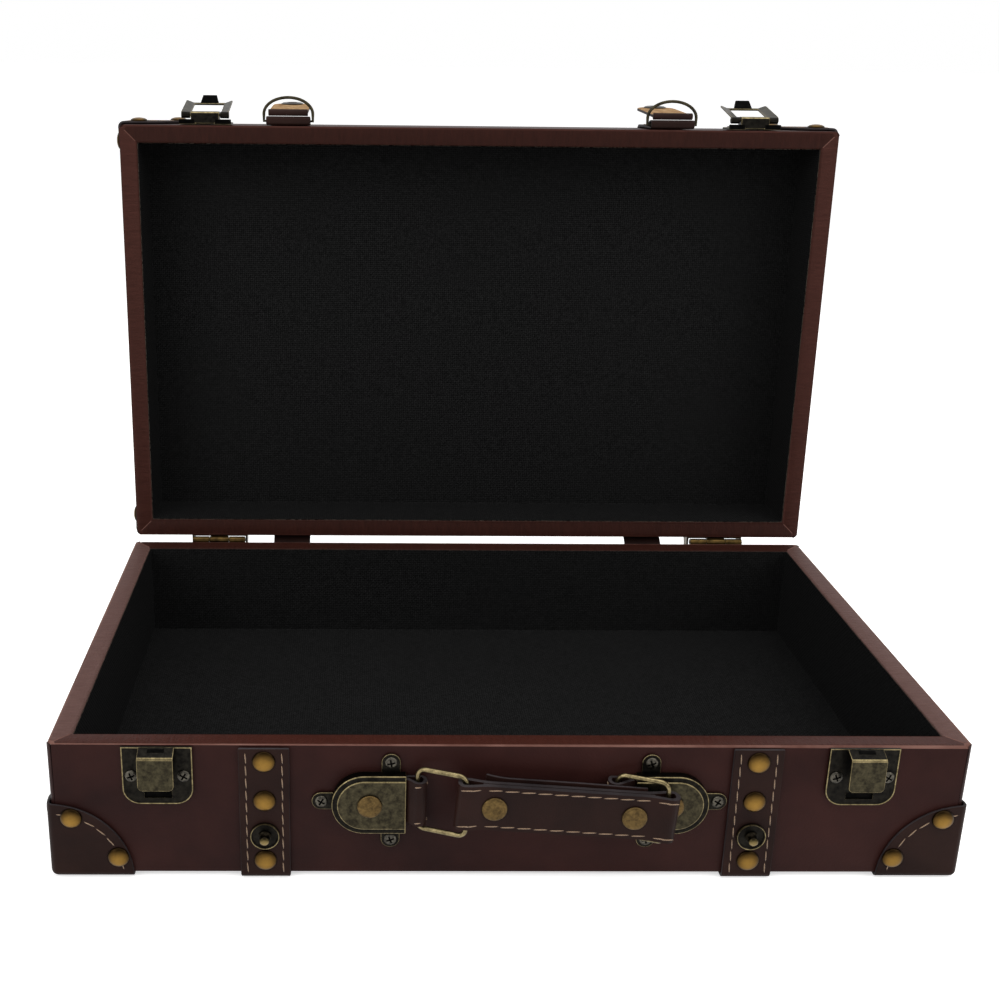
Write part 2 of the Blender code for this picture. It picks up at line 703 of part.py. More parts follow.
def latch_plate(side, x):
    half = LATCH_PLATE_WIDTH / 2
    gap = LATCH_FOOT_GAP / 2
    top = LATCH_PLATE_HEIGHT
    outline = [(-half, BLOCK_NEAR), (-gap, BLOCK_NEAR), (-gap, LATCH_FOOT_RISE), (gap, LATCH_FOOT_RISE),
               (gap, BLOCK_NEAR), (half, BLOCK_NEAR)]
    outline += arc((half - LATCH_PLATE_ROUND, top - LATCH_PLATE_ROUND), LATCH_PLATE_ROUND, 0, 90, 5)
    outline += arc((-half + LATCH_PLATE_ROUND, top - LATCH_PLATE_ROUND), LATCH_PLATE_ROUND, 90, 180, 5)
    place = from_lid(Matrix.Translation((x, FRONT, LID_RIM)) @ TURN_FRONT)
    plate = node(f"latch_plate_{side}", flat_sheet([outline], FIT, FIT + PLATE), BRONZE,
                 lid_axis, place)
    knuckle = block((-BLOCK_WIDTH / 2, BLOCK_NEAR, FIT + PLATE / 2), (BLOCK_WIDTH / 2, BLOCK_FAR, BLOCK_TOP))
    edges = [line for line in knuckle.edges if all(vert.co.z > BLOCK_TOP - FIT for vert in line.verts)
             and abs(line.verts[0].co.y - line.verts[1].co.y) < FIT]
    bmesh.ops.bevel(knuckle, geom=edges, offset=BLOCK_ROUND, segments=3, profile=0.5, affect="EDGES")
    shape(plate, knuckle, "UNION")
    screw_spots = ((-LATCH_SCREW_X, LATCH_SCREW_RISE), (LATCH_SCREW_X, LATCH_SCREW_RISE))
    shape(plate, screws(screw_spots, FIT + PLATE / 2), "UNION")
    bore = rod(HASP_PIN_HOLE, -BLOCK_WIDTH, BLOCK_WIDTH, 10)
    shape(plate, moved(bore, Matrix.Translation((0, HASP_PIN_RISE, HASP_PIN_OUT)) @ along_x()), "DIFFERENCE")
    pin = moved(rod(HASP_PIN_RADIUS, -HASP_WIDTH / 2, HASP_WIDTH / 2, 10),
                Matrix.Translation((0, HASP_PIN_RISE, HASP_PIN_OUT)) @ along_x())
    smooth(node(f"hasp_pin_{side}", pin, BRONZE, lid_axis, place))


def hasp(side, x):
    axis = pivot(f"hasp_axis_{side}", lid_axis,
                 from_lid(Matrix.Translation((x, FRONT - HASP_PIN_OUT, LID_RIM + HASP_PIN_RISE)))
                 @ Matrix.Rotation(-HASP_REST, 4, "X"))
    half = HASP_WIDTH / 2
    inner = HASP_WINDOW_WIDTH / 2
    low = -HASP_REACH
    outline = [(half, 0), (inner, 0), (inner, low + HASP_BAR),
               (-inner, low + HASP_BAR), (-inner, 0), (-half, 0)]
    outline += arc((-half + HASP_CORNER, low + HASP_CORNER), HASP_CORNER, 180, 270, 3)
    outline += arc((half - HASP_CORNER, low + HASP_CORNER), HASP_CORNER, 270, 360, 3)
    frame = node(f"latch_hasp_{side}", flat_sheet([outline], -PLATE / 2, PLATE / 2), BRONZE,
                 axis, TURN_FRONT)
    ears = []
    for sign in (-1, 1):
        ear = rod(HASP_EAR_RADIUS, inner, half, 12)
        ears.append(moved(ear, along_x() @ Matrix.Rotation(0 if sign > 0 else math.pi, 4, "X")))
    shape(frame, gathered(*ears), "UNION")
    root = HASP_CATCH_ROOT / 2
    tip = HASP_CATCH_TIP / 2
    catch = flat_sheet([[(root, 0), (-root, 0), (-tip, -HASP_CATCH_LENGTH), (tip, -HASP_CATCH_LENGTH)]],
                       -PLATE / 2, PLATE / 2)
    moved(catch, Matrix.Translation((0, low + HASP_BAR / 2, 0)) @ Matrix.Rotation(HASP_CATCH_TURN, 4, "X"))
    shape(frame, catch, "UNION")
    shape(frame, moved(rod(HASP_PIN_HOLE, -HASP_WIDTH, HASP_WIDTH, 10), along_x()), "DIFFERENCE")


# Stop hinges at the back

def stop_ear(is_lid, x):
    # A slanted ear; the two ears of a hinge meet edge to edge when the lid stands open
    tilt = (math.pi - LID_OPEN - STOP_SLACK) / 2
    edge = Vector((math.sin(tilt), math.cos(tilt)))
    inner = edge * STOP_EAR_NEAR
    outer = edge * STOP_EAR_REACH
    sheet = FIT + HINGE_LEAF / 2 - HINGE_OFFSET
    points = [tuple(inner), tuple(outer), (outer.x, STOP_EAR_TOP - STOP_EAR_CUT), (sheet, STOP_EAR_TOP),
              (sheet, inner.y)]
    if not is_lid:
        points = [(y, -z) for y, z in points]
    return moved(upright_band([points], STOP_EAR), Matrix.Translation((x, 0, 0)))


def hinge_leaf(side, x, is_lid):
    sign = 1 if is_lid else -1
    place = Matrix.Translation((x, HINGE_Y, HINGE_Z))
    name = f"{'lid' if is_lid else 'base'}_hinge_leaf_{side}"
    half = HINGE_WIDTH / 2
    end = half - KNUCKLE_END
    middle = KNUCKLE_MIDDLE / 2
    near = HINGE_LEAF_NEAR
    if is_lid:
        knuckles = ((-middle + FIT, middle - FIT),)
    else:
        knuckles = ((-end, -middle), (middle, end))
    # The sheet stands upright against the back face, and a narrower tail reaches each knuckle
    outline = [(half, near), (half, HINGE_LEAF_FAR), (-half, HINGE_LEAF_FAR), (-half, near)]
    for low, high in knuckles:
        outline += [(low + KNUCKLE_END, near), (low + KNUCKLE_END, 0), (high - KNUCKLE_END, 0),
                    (high - KNUCKLE_END, near)]
    leaf = flat_sheet([[(px, pz * sign) for px, pz in outline]], 0, HINGE_LEAF)
    moved(leaf, Matrix.Translation((0, FIT - HINGE_OFFSET, 0)) @ TURN_BACK)
    holder = lid_axis if is_lid else None
    item = node(name, leaf, BRASS, holder, from_lid(place) if is_lid else place)
    tubes = [moved(rod(KNUCKLE_RADIUS, low, high, 12), along_x()) for low, high in knuckles]
    shape(item, gathered(*tubes), "UNION")
    shape(item, moved(rod(KNUCKLE_HOLE, -HINGE_WIDTH, HINGE_WIDTH, 12), along_x()), "DIFFERENCE")
    ear_x = half + STOP_EAR / 2 - STOP_EAR_LAP
    ears = gathered(stop_ear(is_lid, -ear_x), stop_ear(is_lid, ear_x))
    shape(item, ears, "UNION")
    heads = []
    for px in (-LEAF_SCREW_X, LEAF_SCREW_X):
        head = dome(SCREW_RADIUS, SCREW_RISE + HINGE_LEAF / 2, HINGE_LEAF / 2)
        spot = Matrix.Translation((px, FIT - HINGE_OFFSET, sign * LEAF_SCREW_OFF))
        heads.append(moved(head, spot @ TURN_BACK))
    shape(item, gathered(*heads), "UNION")


def hinge(side, x):
    hinge_leaf(side, x, False)
    hinge_leaf(side, x, True)
    pin = moved(rod(HINGE_PIN_RADIUS, -HINGE_WIDTH / 2, HINGE_WIDTH / 2, 10), along_x())
    smooth(node(f"hinge_pin_{side}", pin, BRASS, None, Matrix.Translation((x, HINGE_Y, HINGE_Z))))


# Handle: end caps, leather tabs, wire rings, strap and rivets

def cap_loop(inset, z):
    half = CAP_HEIGHT / 2 - inset
    centre = (CAP_LENGTH - CAP_HEIGHT / 2, 0)
    outline = [(inset, half), (inset, -half)] + arc(centre, half, -90, 90, CAP_ARC_STEPS)
    return [Vector((x, y, z)) for x, y in outline]


def lug(end, toward):
    # A flat strip with a round end, from under the cap edge to the screw
    half = LUG_WIDTH / 2
    way = Vector(toward)
    across = Vector((-way.y, way.x))
    outline = [end - way * LUG_WIDTH + across * half, end - way * LUG_WIDTH - across * half]
    start = math.degrees(math.atan2(-across.y, -across.x))
    outline += [Vector(point) for point in arc(end, half, start, start + 180, 8)]
    return flat_sheet([[tuple(point) for point in outline]], FIT, FIT + LUG_SHEET)


def handle_cap(side, x, sign):
    loops = [cap_loop(0, FIT), cap_loop(0, CAP_SKIRT - CAP_CHAMFER), cap_loop(CAP_CHAMFER, CAP_SKIRT),
             cap_loop(CAP_STEP, CAP_SKIRT), cap_loop(CAP_STEP, CAP_TOP - CAP_CHAMFER),
             cap_loop(CAP_STEP + CAP_CHAMFER, CAP_TOP)]
    place = Matrix.Translation((x, FRONT, RIM - CAP_DROP)) @ TURN_FRONT
    if sign < 0:
        place = place @ Matrix.Rotation(math.pi, 4, "Z")
    cap = node(f"handle_cap_{side}", loft(loops), BRONZE, None, place)
    ends = (((LUG_IN, LUG_UP), (0, 1)), ((LUG_OUT, 0), (1, 0)), ((LUG_IN, -LUG_UP), (0, -1)))
    shape(cap, gathered(*[lug(Vector(end), way) for end, way in ends]), "UNION")
    shape(cap, screws([end for end, way in ends], FIT + LUG_SHEET / 2), "UNION")
    sheet = CAP_SHEET
    hollow = [cap_loop(sheet, 0), cap_loop(sheet, CAP_SKIRT - sheet),
              cap_loop(CAP_STEP + sheet, CAP_SKIRT - sheet), cap_loop(CAP_STEP + sheet, CAP_TOP - sheet)]
    shape(cap, loft(hollow), "DIFFERENCE")
    mouth = CAP_MOUTH_HEIGHT / 2
    shape(cap, block((-sheet, -mouth, 0), (sheet * 2, mouth, CAP_SKIRT - sheet)), "DIFFERENCE")
    hole = rod(CAP_RIVET_HOLE, CAP_SKIRT, CAP_TOP * 2, 12)
    shape(cap, moved(hole, Matrix.Translation((CAP_RIVET_IN, 0, 0))), "DIFFERENCE")
    top = CAP_TOP + FIT
    profile = ((0, FIT * 2), (RIVET_SHANK, FIT * 2), (RIVET_SHANK, top), (RIVET_RADIUS, top),
               (RIVET_RADIUS, top + RIVET_RISE - RIVET_CROWN), (RIVET_RADIUS - RIVET_CROWN, top + RIVET_RISE),
               (0, top + RIVET_RISE))
    rivet = node(f"cap_rivet_{side}", turned(profile, 20), BRASS, None,
                 place @ Matrix.Translation((CAP_RIVET_IN, 0, 0)))
    smooth(rivet)


def wrap_angle(radius, reach, height):
    # Where leather that comes from a point (reach, height) first touches a round bar
    return math.degrees(math.atan2(height, reach) + math.acos(radius / math.hypot(reach, height)))


def leather_tab(side, x, sign, bar):
    # A doubled strap seen edge on: an eye round the bar, then two layers that lie together
    low = FIT * 2
    high = CAP_SKIRT - CAP_SHEET - FIT
    centre = (bar + TAB_EYE_SHIFT, TAB_BAR_OUT)
    radius = TAB_EYE_RADIUS + TAB_LEATHER
    upper = 180 - wrap_angle(radius, centre[0] - FIT, high - TAB_BAR_OUT)
    lower = wrap_angle(radius, centre[0] - FIT, TAB_BAR_OUT - low) - 180
    outline = arc(centre, radius, upper, lower, 10)
    outline += [(FIT, low), (-TAB_IN, low), (-TAB_IN, high), (FIT, high)]
    tip = (TAB_EYE_TIP, (low + high) / 2)
    upper = 180 - wrap_angle(TAB_EYE_RADIUS, centre[0] - tip[0], tip[1] - TAB_BAR_OUT)
    lower = wrap_angle(TAB_EYE_RADIUS, centre[0] - tip[0], TAB_BAR_OUT - tip[1]) - 180
    eye = arc(centre, TAB_EYE_RADIUS, upper, lower, 8) + [tip]
    band = flat_sheet([outline, eye], -TAB_WIDTH / 2, TAB_WIDTH / 2)
    # Drawn in (inward, outward); stood up so that its width runs along Z
    turn = Matrix(((sign, 0, 0, 0), (0, 0, 1, 0), (0, 1, 0, 0), (0, 0, 0, 1)))
    face = Matrix(((1, 0, 0, 0), (0, 0, -1, 0), (0, 1, 0, 0), (0, 0, 0, 1)))
    moved(band, face @ turn)
    tab = node(f"handle_tab_{side}", band, TRIM, None,
               Matrix.Translation((x, FRONT, RIM - TAB_DROP)))
    hole = rod(CAP_RIVET_HOLE, -CAP_TOP, CAP_TOP * 2, 12)
    offset = CAP_DROP - TAB_DROP
    shape(tab, moved(hole, Matrix.Translation((-sign * CAP_RIVET_IN, 0, -offset)) @ TURN_FRONT), "DIFFERENCE")


def ring_path():
    half = RING_HEIGHT / 2
    radius = RING_CORNER
    path = []
    for centre, start in (((RING_REACH - radius, half - radius), 0), ((radius, half - radius), 90),
                          ((radius, -half + radius), 180), ((RING_REACH - radius, -half + radius), 270)):
        path += arc(centre, radius, start, start + 90, 4)
    return [(x, 0, z) for x, z in path]


def wire_ring(side, axis):
    ring = node(f"handle_ring_{side}", bent_wire(ring_path(), RING_WIRE), BRASS, axis,
                Matrix.Identity(4))
    smooth(ring)


def handle_length():
    return (CAP_RIGHT_X - RIGHT_BAR_IN) - (CAP_LEFT_X + LEFT_BAR_IN)


def handle_strap(axis):
    span = handle_length()
    drop = RIGHT_LOOP_DROP - LEFT_LOOP_DROP
    slope = math.atan2(drop, span)
    length = math.hypot(span, drop)
    radius = HANDLE_EYE_RADIUS
    full = radius + HANDLE_LEATHER
    shift = HANDLE_EYE_SHIFT
    tail = HANDLE_EYE_TAIL
    body = HANDLE_BODY_HALF
    wrap = wrap_angle(full, tail + shift, body)
    left_end = [(tail, body)] + arc((-shift, 0), full, wrap, 360 - wrap, 10) + [(tail, -body)]
    outline = left_end + [(length - px, -py) for px, py in left_end]
    wrap = wrap_angle(radius, tail, 0)
    left_eye = arc((-shift, 0), radius, wrap, 360 - wrap, 8) + [(tail - shift, 0)]
    right_eye = [(length - px, py) for px, py in left_eye]
    band = flat_sheet([outline, left_eye, right_eye], -HANDLE_WIDTH / 2, HANDLE_WIDTH / 2)
    # Drawn in (along, outward); stood up with its width along Z, then drooped toward the right
    moved(band, Matrix(((1, 0, 0, 0), (0, -1, 0, 0), (0, 0, -1, 0), (0, 0, 0, 1))))
    droop = Matrix.Rotation(slope, 4, "Y")
    strap = node("handle_strap", band, TRIM, axis, droop)
    for side, along in (("left", HANDLE_RIVET_LEFT), ("right", length - HANDLE_RIVET_RIGHT)):
        place = Matrix.Translation((along, 0, 0)) @ TURN_FRONT
        shape(strap, moved(rod(HANDLE_RIVET_HOLE, -CAP_TOP, CAP_TOP, 12), place), "DIFFERENCE")
        top = body + FIT
        profile = ((0, -top - RIVET_BACK_RISE), (RIVET_BACK_RADIUS, -top - RIVET_BACK_RISE),
                   (RIVET_BACK_RADIUS, -top), (RIVET_SHANK, -top), (RIVET_SHANK, top), (RIVET_RADIUS, top),
                   (RIVET_RADIUS, top + RIVET_RISE - RIVET_CROWN),
                   (RIVET_RADIUS - RIVET_CROWN, top + RIVET_RISE),
                   (0, top + RIVET_RISE))
        rivet = node(f"handle_rivet_{side}", turned(profile, 20), BRASS, axis, droop @ place)
        smooth(rivet)


def handle():
    handle_cap("left", CAP_LEFT_X, -1)
    handle_cap("right", CAP_RIGHT_X, 1)
    leather_tab("left", CAP_LEFT_X, 1, LEFT_BAR_IN)
    leather_tab("right", CAP_RIGHT_X, -1, RIGHT_BAR_IN)
    outward = Matrix.Rotation(-RING_OUT, 4, "Z")
    left_bar = Matrix.Translation((CAP_LEFT_X + LEFT_BAR_IN, FRONT - TAB_BAR_OUT, RIM - LEFT_RING_DROP))
    right_bar = Matrix.Translation((CAP_RIGHT_X - RIGHT_BAR_IN, FRONT - TAB_BAR_OUT, RIM - RIGHT_RING_DROP))
    wire_ring("left", pivot("ring_axis_left", tray_middle, left_bar @ outward))
    wire_ring("right", pivot("ring_axis_right", tray_middle, right_bar @ outward))
    reach = outward @ Vector((RING_REACH, 0, 0))
    start = left_bar.translation + reach
    start.z = RIM - LEFT_LOOP_DROP
    handle_strap(pivot("handle_axis", tray_middle, Matrix.Translation(start)))


# Strap ends on the lid: leather chape, wire hoop, flap and snap socket

def chape(side, x):
    # A folded leather keeper at the rim edge; the bar of the hoop turns in its eye
    near = CHAPE_NEAR
    far = CHAPE_FAR
    radius = CHAPE_RISE / 2
    outline = arc((near + radius, FIT + radius), radius, 90, 270, 6)
    outline += [(far, FIT), (far, FIT + STRAP_LEATHER)]
    outline += [(near + radius * 3, FIT + CHAPE_RISE)]
    eye = circle((HOOP_BAR_RISE, HOOP_BAR_OUT + FIT), CHAPE_EYE, 10)
    band = flat_sheet([outline, eye], -CHAPE_WIDTH / 2, CHAPE_WIDTH / 2)
    # Drawn in (rise, outward)
    moved(band, Matrix(((0, 0, 1, 0), (1, 0, 0, 0), (0, 1, 0, 0), (0, 0, 0, 1))))
    node(f"strap_chape_{side}", band, TRIM, lid_axis,
         from_lid(Matrix.Translation((x, FRONT, LID_RIM)) @ TURN_FRONT))


def hoop(side, x):
    axis = pivot(f"hoop_axis_{side}", lid_axis,
                 from_lid(Matrix.Translation((x, FRONT - HOOP_BAR_OUT - FIT, LID_RIM + HOOP_BAR_RISE))))
    half = HOOP_WIDTH / 2
    path = [(-half, 0, 0), (half, 0, 0)]
    for step in range(HOOP_STEPS + 1):
        angle = math.pi * step / HOOP_STEPS
        path.append((half * math.cos(angle), 0, HOOP_LEG + (HOOP_REACH - HOOP_LEG) * math.sin(angle)))
    smooth(node(f"strap_hoop_{side}", bent_wire(path, HOOP_WIRE), BRONZE, axis, TURN_FRONT))


def flap(side, x):
    axis = pivot(f"flap_axis_{side}", lid_axis,
                 from_lid(Matrix.Translation((x, FRONT - FLAP_OUT, LID_RIM + FLAP_RISE)))
                 @ Matrix.Rotation(-FLAP_REST, 4, "X"))
    half = FLAP_WIDTH / 2
    length = FLAP_LENGTH
    outline = [(half, 0), (-half, 0)] + arc((0, -length + half), half, 180, 360, FLAP_TIP_STEPS)
    leather = node(f"strap_flap_{side}", flat_sheet([outline], -FLAP_LEATHER / 2, FLAP_LEATHER / 2),
                   TRIM, axis, TURN_FRONT)
    roll = rod(FLAP_ROOT_RADIUS, -half, half, 10)
    shape(leather, moved(roll, along_x()), "UNION")
    centre = -(STUD_DROP + SEAM_GAP + FLAP_RISE)
    shape(leather, moved(rod(FLAP_HOLE, -FLAP_LEATHER, FLAP_LEATHER, 14), Matrix.Translation((0, centre, 0))),
          "DIFFERENCE")
    under = -FLAP_LEATHER / 2 - FIT
    over = FLAP_LEATHER / 2 + FIT
    profile = ((SOCKET_BORE, under - SOCKET_RING_RISE), (SOCKET_RING_RADIUS, under - SOCKET_RING_RISE),
               (SOCKET_RING_RADIUS, under), (SOCKET_BARREL, under), (SOCKET_BARREL, over),
               (SOCKET_CAP_RADIUS, over), (SOCKET_CAP_RADIUS, over + SOCKET_CAP_RISE / 2),
               (SOCKET_BARREL, over + SOCKET_CAP_RISE), (0, over + SOCKET_CAP_RISE), (0, over - FIT),
               (SOCKET_BORE, over - FIT), (SOCKET_BORE, under - SOCKET_RING_RISE))
    socket = node(f"snap_socket_{side}", turned(profile, 14), BRASS, axis,
                  TURN_FRONT @ Matrix.Translation((0, centre, 0)))
    smooth(socket)


part_pieces, cutting_shapes = start_clean()
tray_middle = pivot("tray_middle", None, Matrix.Translation((0, -TRAY_FORWARD, 0)))
lid_axis = pivot("lid_axis", tray_middle,
                 Matrix.Translation((0, HINGE_Y, HINGE_Z)) @ Matrix.Rotation(-LID_OPEN, 4, "X"))
lid_turn = Matrix.Rotation(-LID_OPEN, 3, "X")


def from_lid(place):
    # Turns a place given for the shut lid into one measured from the hinge line
    return Matrix.Translation((0, -HINGE_Y, -HINGE_Z)) @ place


tray("base", False)
tray("lid", True, lid_axis, from_lid(Matrix.Identity(4)))
corner_patches()
for strap_side, strap_x in (("left", -STRAP_X), ("right", STRAP_X)):
    base_strap(strap_side, strap_x)
    lid_strap(strap_side, strap_x)
    strap_bridge(strap_side, strap_x)
    snap_stud(strap_side, strap_x)
    chape(strap_side, strap_x)
    hoop(strap_side, strap_x)
    flap(strap_side, strap_x)
for latch_side, latch_x in (("left", -LATCH_X), ("right", LATCH_X)):
    keeper(latch_side, latch_x)
    latch_plate(latch_side, latch_x)
    hasp(latch_side, latch_x)
for hinge_side, hinge_x in (("left", -HINGE_X), ("right", HINGE_X)):
    hinge(hinge_side, hinge_x)
handle()
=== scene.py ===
import json
import math

import bmesh
import bpy
from mathutils import Matrix, Vector


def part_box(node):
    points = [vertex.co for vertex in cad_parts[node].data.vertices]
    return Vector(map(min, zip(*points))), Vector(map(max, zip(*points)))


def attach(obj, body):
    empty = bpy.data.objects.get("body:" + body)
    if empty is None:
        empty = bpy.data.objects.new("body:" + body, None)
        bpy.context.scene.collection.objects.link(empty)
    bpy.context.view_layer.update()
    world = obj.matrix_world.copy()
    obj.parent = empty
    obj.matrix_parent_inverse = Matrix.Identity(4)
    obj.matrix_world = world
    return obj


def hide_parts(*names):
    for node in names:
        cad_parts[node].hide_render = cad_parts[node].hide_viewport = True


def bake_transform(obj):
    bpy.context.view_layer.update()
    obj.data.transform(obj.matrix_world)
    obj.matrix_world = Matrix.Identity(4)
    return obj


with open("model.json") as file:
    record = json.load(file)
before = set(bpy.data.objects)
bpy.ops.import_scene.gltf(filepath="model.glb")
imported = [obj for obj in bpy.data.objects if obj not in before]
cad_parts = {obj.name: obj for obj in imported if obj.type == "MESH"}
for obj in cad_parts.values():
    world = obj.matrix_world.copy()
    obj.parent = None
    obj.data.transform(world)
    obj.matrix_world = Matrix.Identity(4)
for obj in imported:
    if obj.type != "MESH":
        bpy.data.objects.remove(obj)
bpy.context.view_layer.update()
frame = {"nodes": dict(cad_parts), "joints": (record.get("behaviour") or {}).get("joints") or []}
print("frame loaded:", len(frame["nodes"]), "nodes")


def moveBy(x, y, z):
    return Matrix.Translation((x, y, z))


def turnBy(degrees, axis):
    return Matrix.Rotation(math.radians(degrees), 4, axis)


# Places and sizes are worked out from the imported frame: base tray, hinge line and joint axes
joints = {joint["name"]: joint for joint in frame["joints"]}
baseLow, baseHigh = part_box("base_leather_cover")
side, front, back = baseHigh.x, baseLow.y, baseHigh.y
underside, rim = baseLow.z, baseHigh.z
hinge = Vector(joints["lid_hinge"]["pos_m"])
lidAngle = joints["lid_hinge"]["range_deg"][1]
lidRim = 2 * hinge.z - rim
lidOpen = Matrix.Translation(hinge) @ turnBy(-lidAngle, "X") @ Matrix.Translation(-hinge)
standUp = turnBy(90, "X")       # flat work: x right, y up, z out of the wall
noTurn = Matrix.Identity(4)
leftRight = (("left", -1), ("right", 1))


def onBase(x, drop=0.0):
    # A place on the base's front face, below its rim
    return moveBy(x, front, rim - drop) @ standUp


def onLid(x):
    # A place on the lid's front face, at its rim
    return lidOpen @ moveBy(x, front, lidRim) @ standUp


def atJoint(name, degrees=0.0):
    # A place on a joint of the lid, turned back from the open lid by so many degrees
    return Matrix.Translation(joints[name]["pos_m"]) @ turnBy(-lidAngle - degrees, "X") @ standUp


def thrownBack(name):
    return atJoint(name, joints[name]["range_deg"][1])


box = {"wall": 0.0090, "cornerRound": 0.0030, "edgeRound": 0.0013, "lipRound": 0.00104, "baseFloor": 0.0099,
       "lidHeight": 0.0400, "lidPanel": 0.0070, "underCloth": 0.0010, "cloth": 0.0007, "clothDrop": 0.0008,
       "clothCorner": 0.0010, "clothEdge": 0.0008, "gap": 0.0002, "mitre": 0.00025}
lidTop = lidRim + box["lidHeight"]


# Materials

def toLinear(hexColour):
    parts = [int(hexColour[i:i + 2], 16) / 255 for i in (1, 3, 5)]
    return [p / 12.92 if p <= 0.04045 else ((p + 0.055) / 1.055) ** 2.4 for p in parts] + [1.0]


def addNode(tree, kind, settings=None, links=None):
    made = tree.nodes.new(kind)
    for key, value in (settings or {}).items():
        if isinstance(key, int) or key in made.inputs:
            made.inputs[key].default_value = value
        else:
            setattr(made, key, value)
    for key, source in (links or {}).items():
        tree.links.new(source, made.inputs[key])
    return made


def startMaterial(name, metallic=0.0, roughness=0.5):
    material = bpy.data.materials.new(name)
    material.use_nodes = True
    tree = material.node_tree
    shader = tree.nodes["Principled BSDF"]
    shader.inputs["Metallic"].default_value = metallic
    shader.inputs["Roughness"].default_value = roughness
    place = addNode(tree, "ShaderNodeTexCoord").outputs["Object"]
    return material, tree, shader, place


def paintBetween(tree, shader, factor, *stops):
    # Each stop is a colour and the factor at which it is pure
    ramp = addNode(tree, "ShaderNodeValToRGB", links={"Fac": factor})
    elements = ramp.color_ramp.elements
    for index, (colour, level) in zip((0, 1), (stops[0], stops[-1])):
        elements[index].position = level
        elements[index].color = toLinear(colour)
    for colour, level in stops[1:-1]:
        elements.new(level).color = toLinear(colour)
    tree.links.new(ramp.outputs["Color"], shader.inputs["Base Color"])


def spreadRoughness(tree, shader, factor, atZero, atOne):
    spread = addNode(tree, "ShaderNodeMapRange", {"To Min": atZero, "To Max": atOne}, {"Value": factor})
    tree.links.new(spread.outputs["Result"], shader.inputs["Roughness"])


def bumpChain(tree, shader, layers):
    # Each layer is a height and its depth in metres
    normal = None
    for height, depth in layers:
        bump = addNode(tree, "ShaderNodeBump", {"Strength": 1.0, "Distance": depth}, {"Height": height})
        if normal is not None:
            tree.links.new(normal, bump.inputs["Normal"])
        normal = bump.outputs["Normal"]
    tree.links.new(normal, shader.inputs["Normal"])


evenTone = {"low": 0.3, "high": 0.7}
leatherLook = {"pores": 0.35, "poreDepth": 0.8, "creaseDepth": 0.00030, "creaseContrast": 0.55,
               "creaseLevel": 0.22}


def leatherMaterial(name, dark, light, grain=0.0011, depth=0.00006, rough=(0.38, 0.55), wrinkle=None,
                    gloss=0.06, cloud=0.035):
    # PU leathercloth: fine embossed pebble grain under a satin topcoat, a little uneven in tone
    material, tree, shader, place = startMaterial(name)
    tone = addNode(tree, "ShaderNodeTexNoise", {"Scale": 1 / cloud, "Detail": 4.0, "Roughness": 0.6},
                   {"Vector": place}).outputs["Fac"]
    pebble = addNode(tree, "ShaderNodeTexVoronoi", {"Scale": 1 / grain, "Randomness": 1.0}, {"Vector": place})
    fine = addNode(tree, "ShaderNodeTexNoise", {"Scale": 1 / (grain * leatherLook["pores"]), "Detail": 5.0},
                   {"Vector": place}).outputs["Fac"]
    spreadRoughness(tree, shader, fine, *rough)
    layers = [(pebble.outputs["Distance"], depth), (fine, depth * leatherLook["poreDepth"])]
    if wrinkle:
        stretch = addNode(tree, "ShaderNodeMapping", {"Scale": wrinkle}, {"Vector": place})
        crease = addNode(tree, "ShaderNodeTexNoise", {"Scale": 1.0, "Detail": 6.0, "Roughness": 0.65},
                         {"Vector": stretch.outputs["Vector"]}).outputs["Fac"]
        layers.append((crease, leatherLook["creaseDepth"]))
        # The tone follows the creases, darker in their hollows: painted shade in the creases
        tone = addNode(tree, "ShaderNodeMath", {"operation": "MULTIPLY_ADD", 1: leatherLook["creaseContrast"],
                                                2: leatherLook["creaseLevel"]}, {0: crease}).outputs[0]
    paintBetween(tree, shader, tone, (dark, evenTone["low"]), (light, evenTone["high"]))
    bumpChain(tree, shader, layers)
    shader.inputs["Specular IOR Level"].default_value = gloss
    return material


def metalMaterial(name, dark, light, rough, spot=0.0022):
    # Plated metal: a mottled tone where the antique finish was rubbed back, over fine pits
    material, tree, shader, place = startMaterial(name, 1.0)
    mottle = addNode(tree, "ShaderNodeTexNoise", {"Scale": 1 / spot, "Detail": 6.0, "Roughness": 0.7},
                     {"Vector": place}).outputs["Fac"]
    paintBetween(tree, shader, mottle, (dark, 0.35), (light, 0.65))
    spreadRoughness(tree, shader, mottle, rough[1], rough[0])
    pit = addNode(tree, "ShaderNodeTexNoise", {"Scale": 1 / 0.0006, "Detail": 3.0}, {"Vector": place})
    bumpChain(tree, shader, [(pit.outputs["Fac"], 0.000012)])
    return material


domeLook = {"paintedShadeTilt": 1.5, "mottle": 0.0024, "unevenness": 0.2, "foot": 0.30, "flank": 0.62, "crown": 1.0}


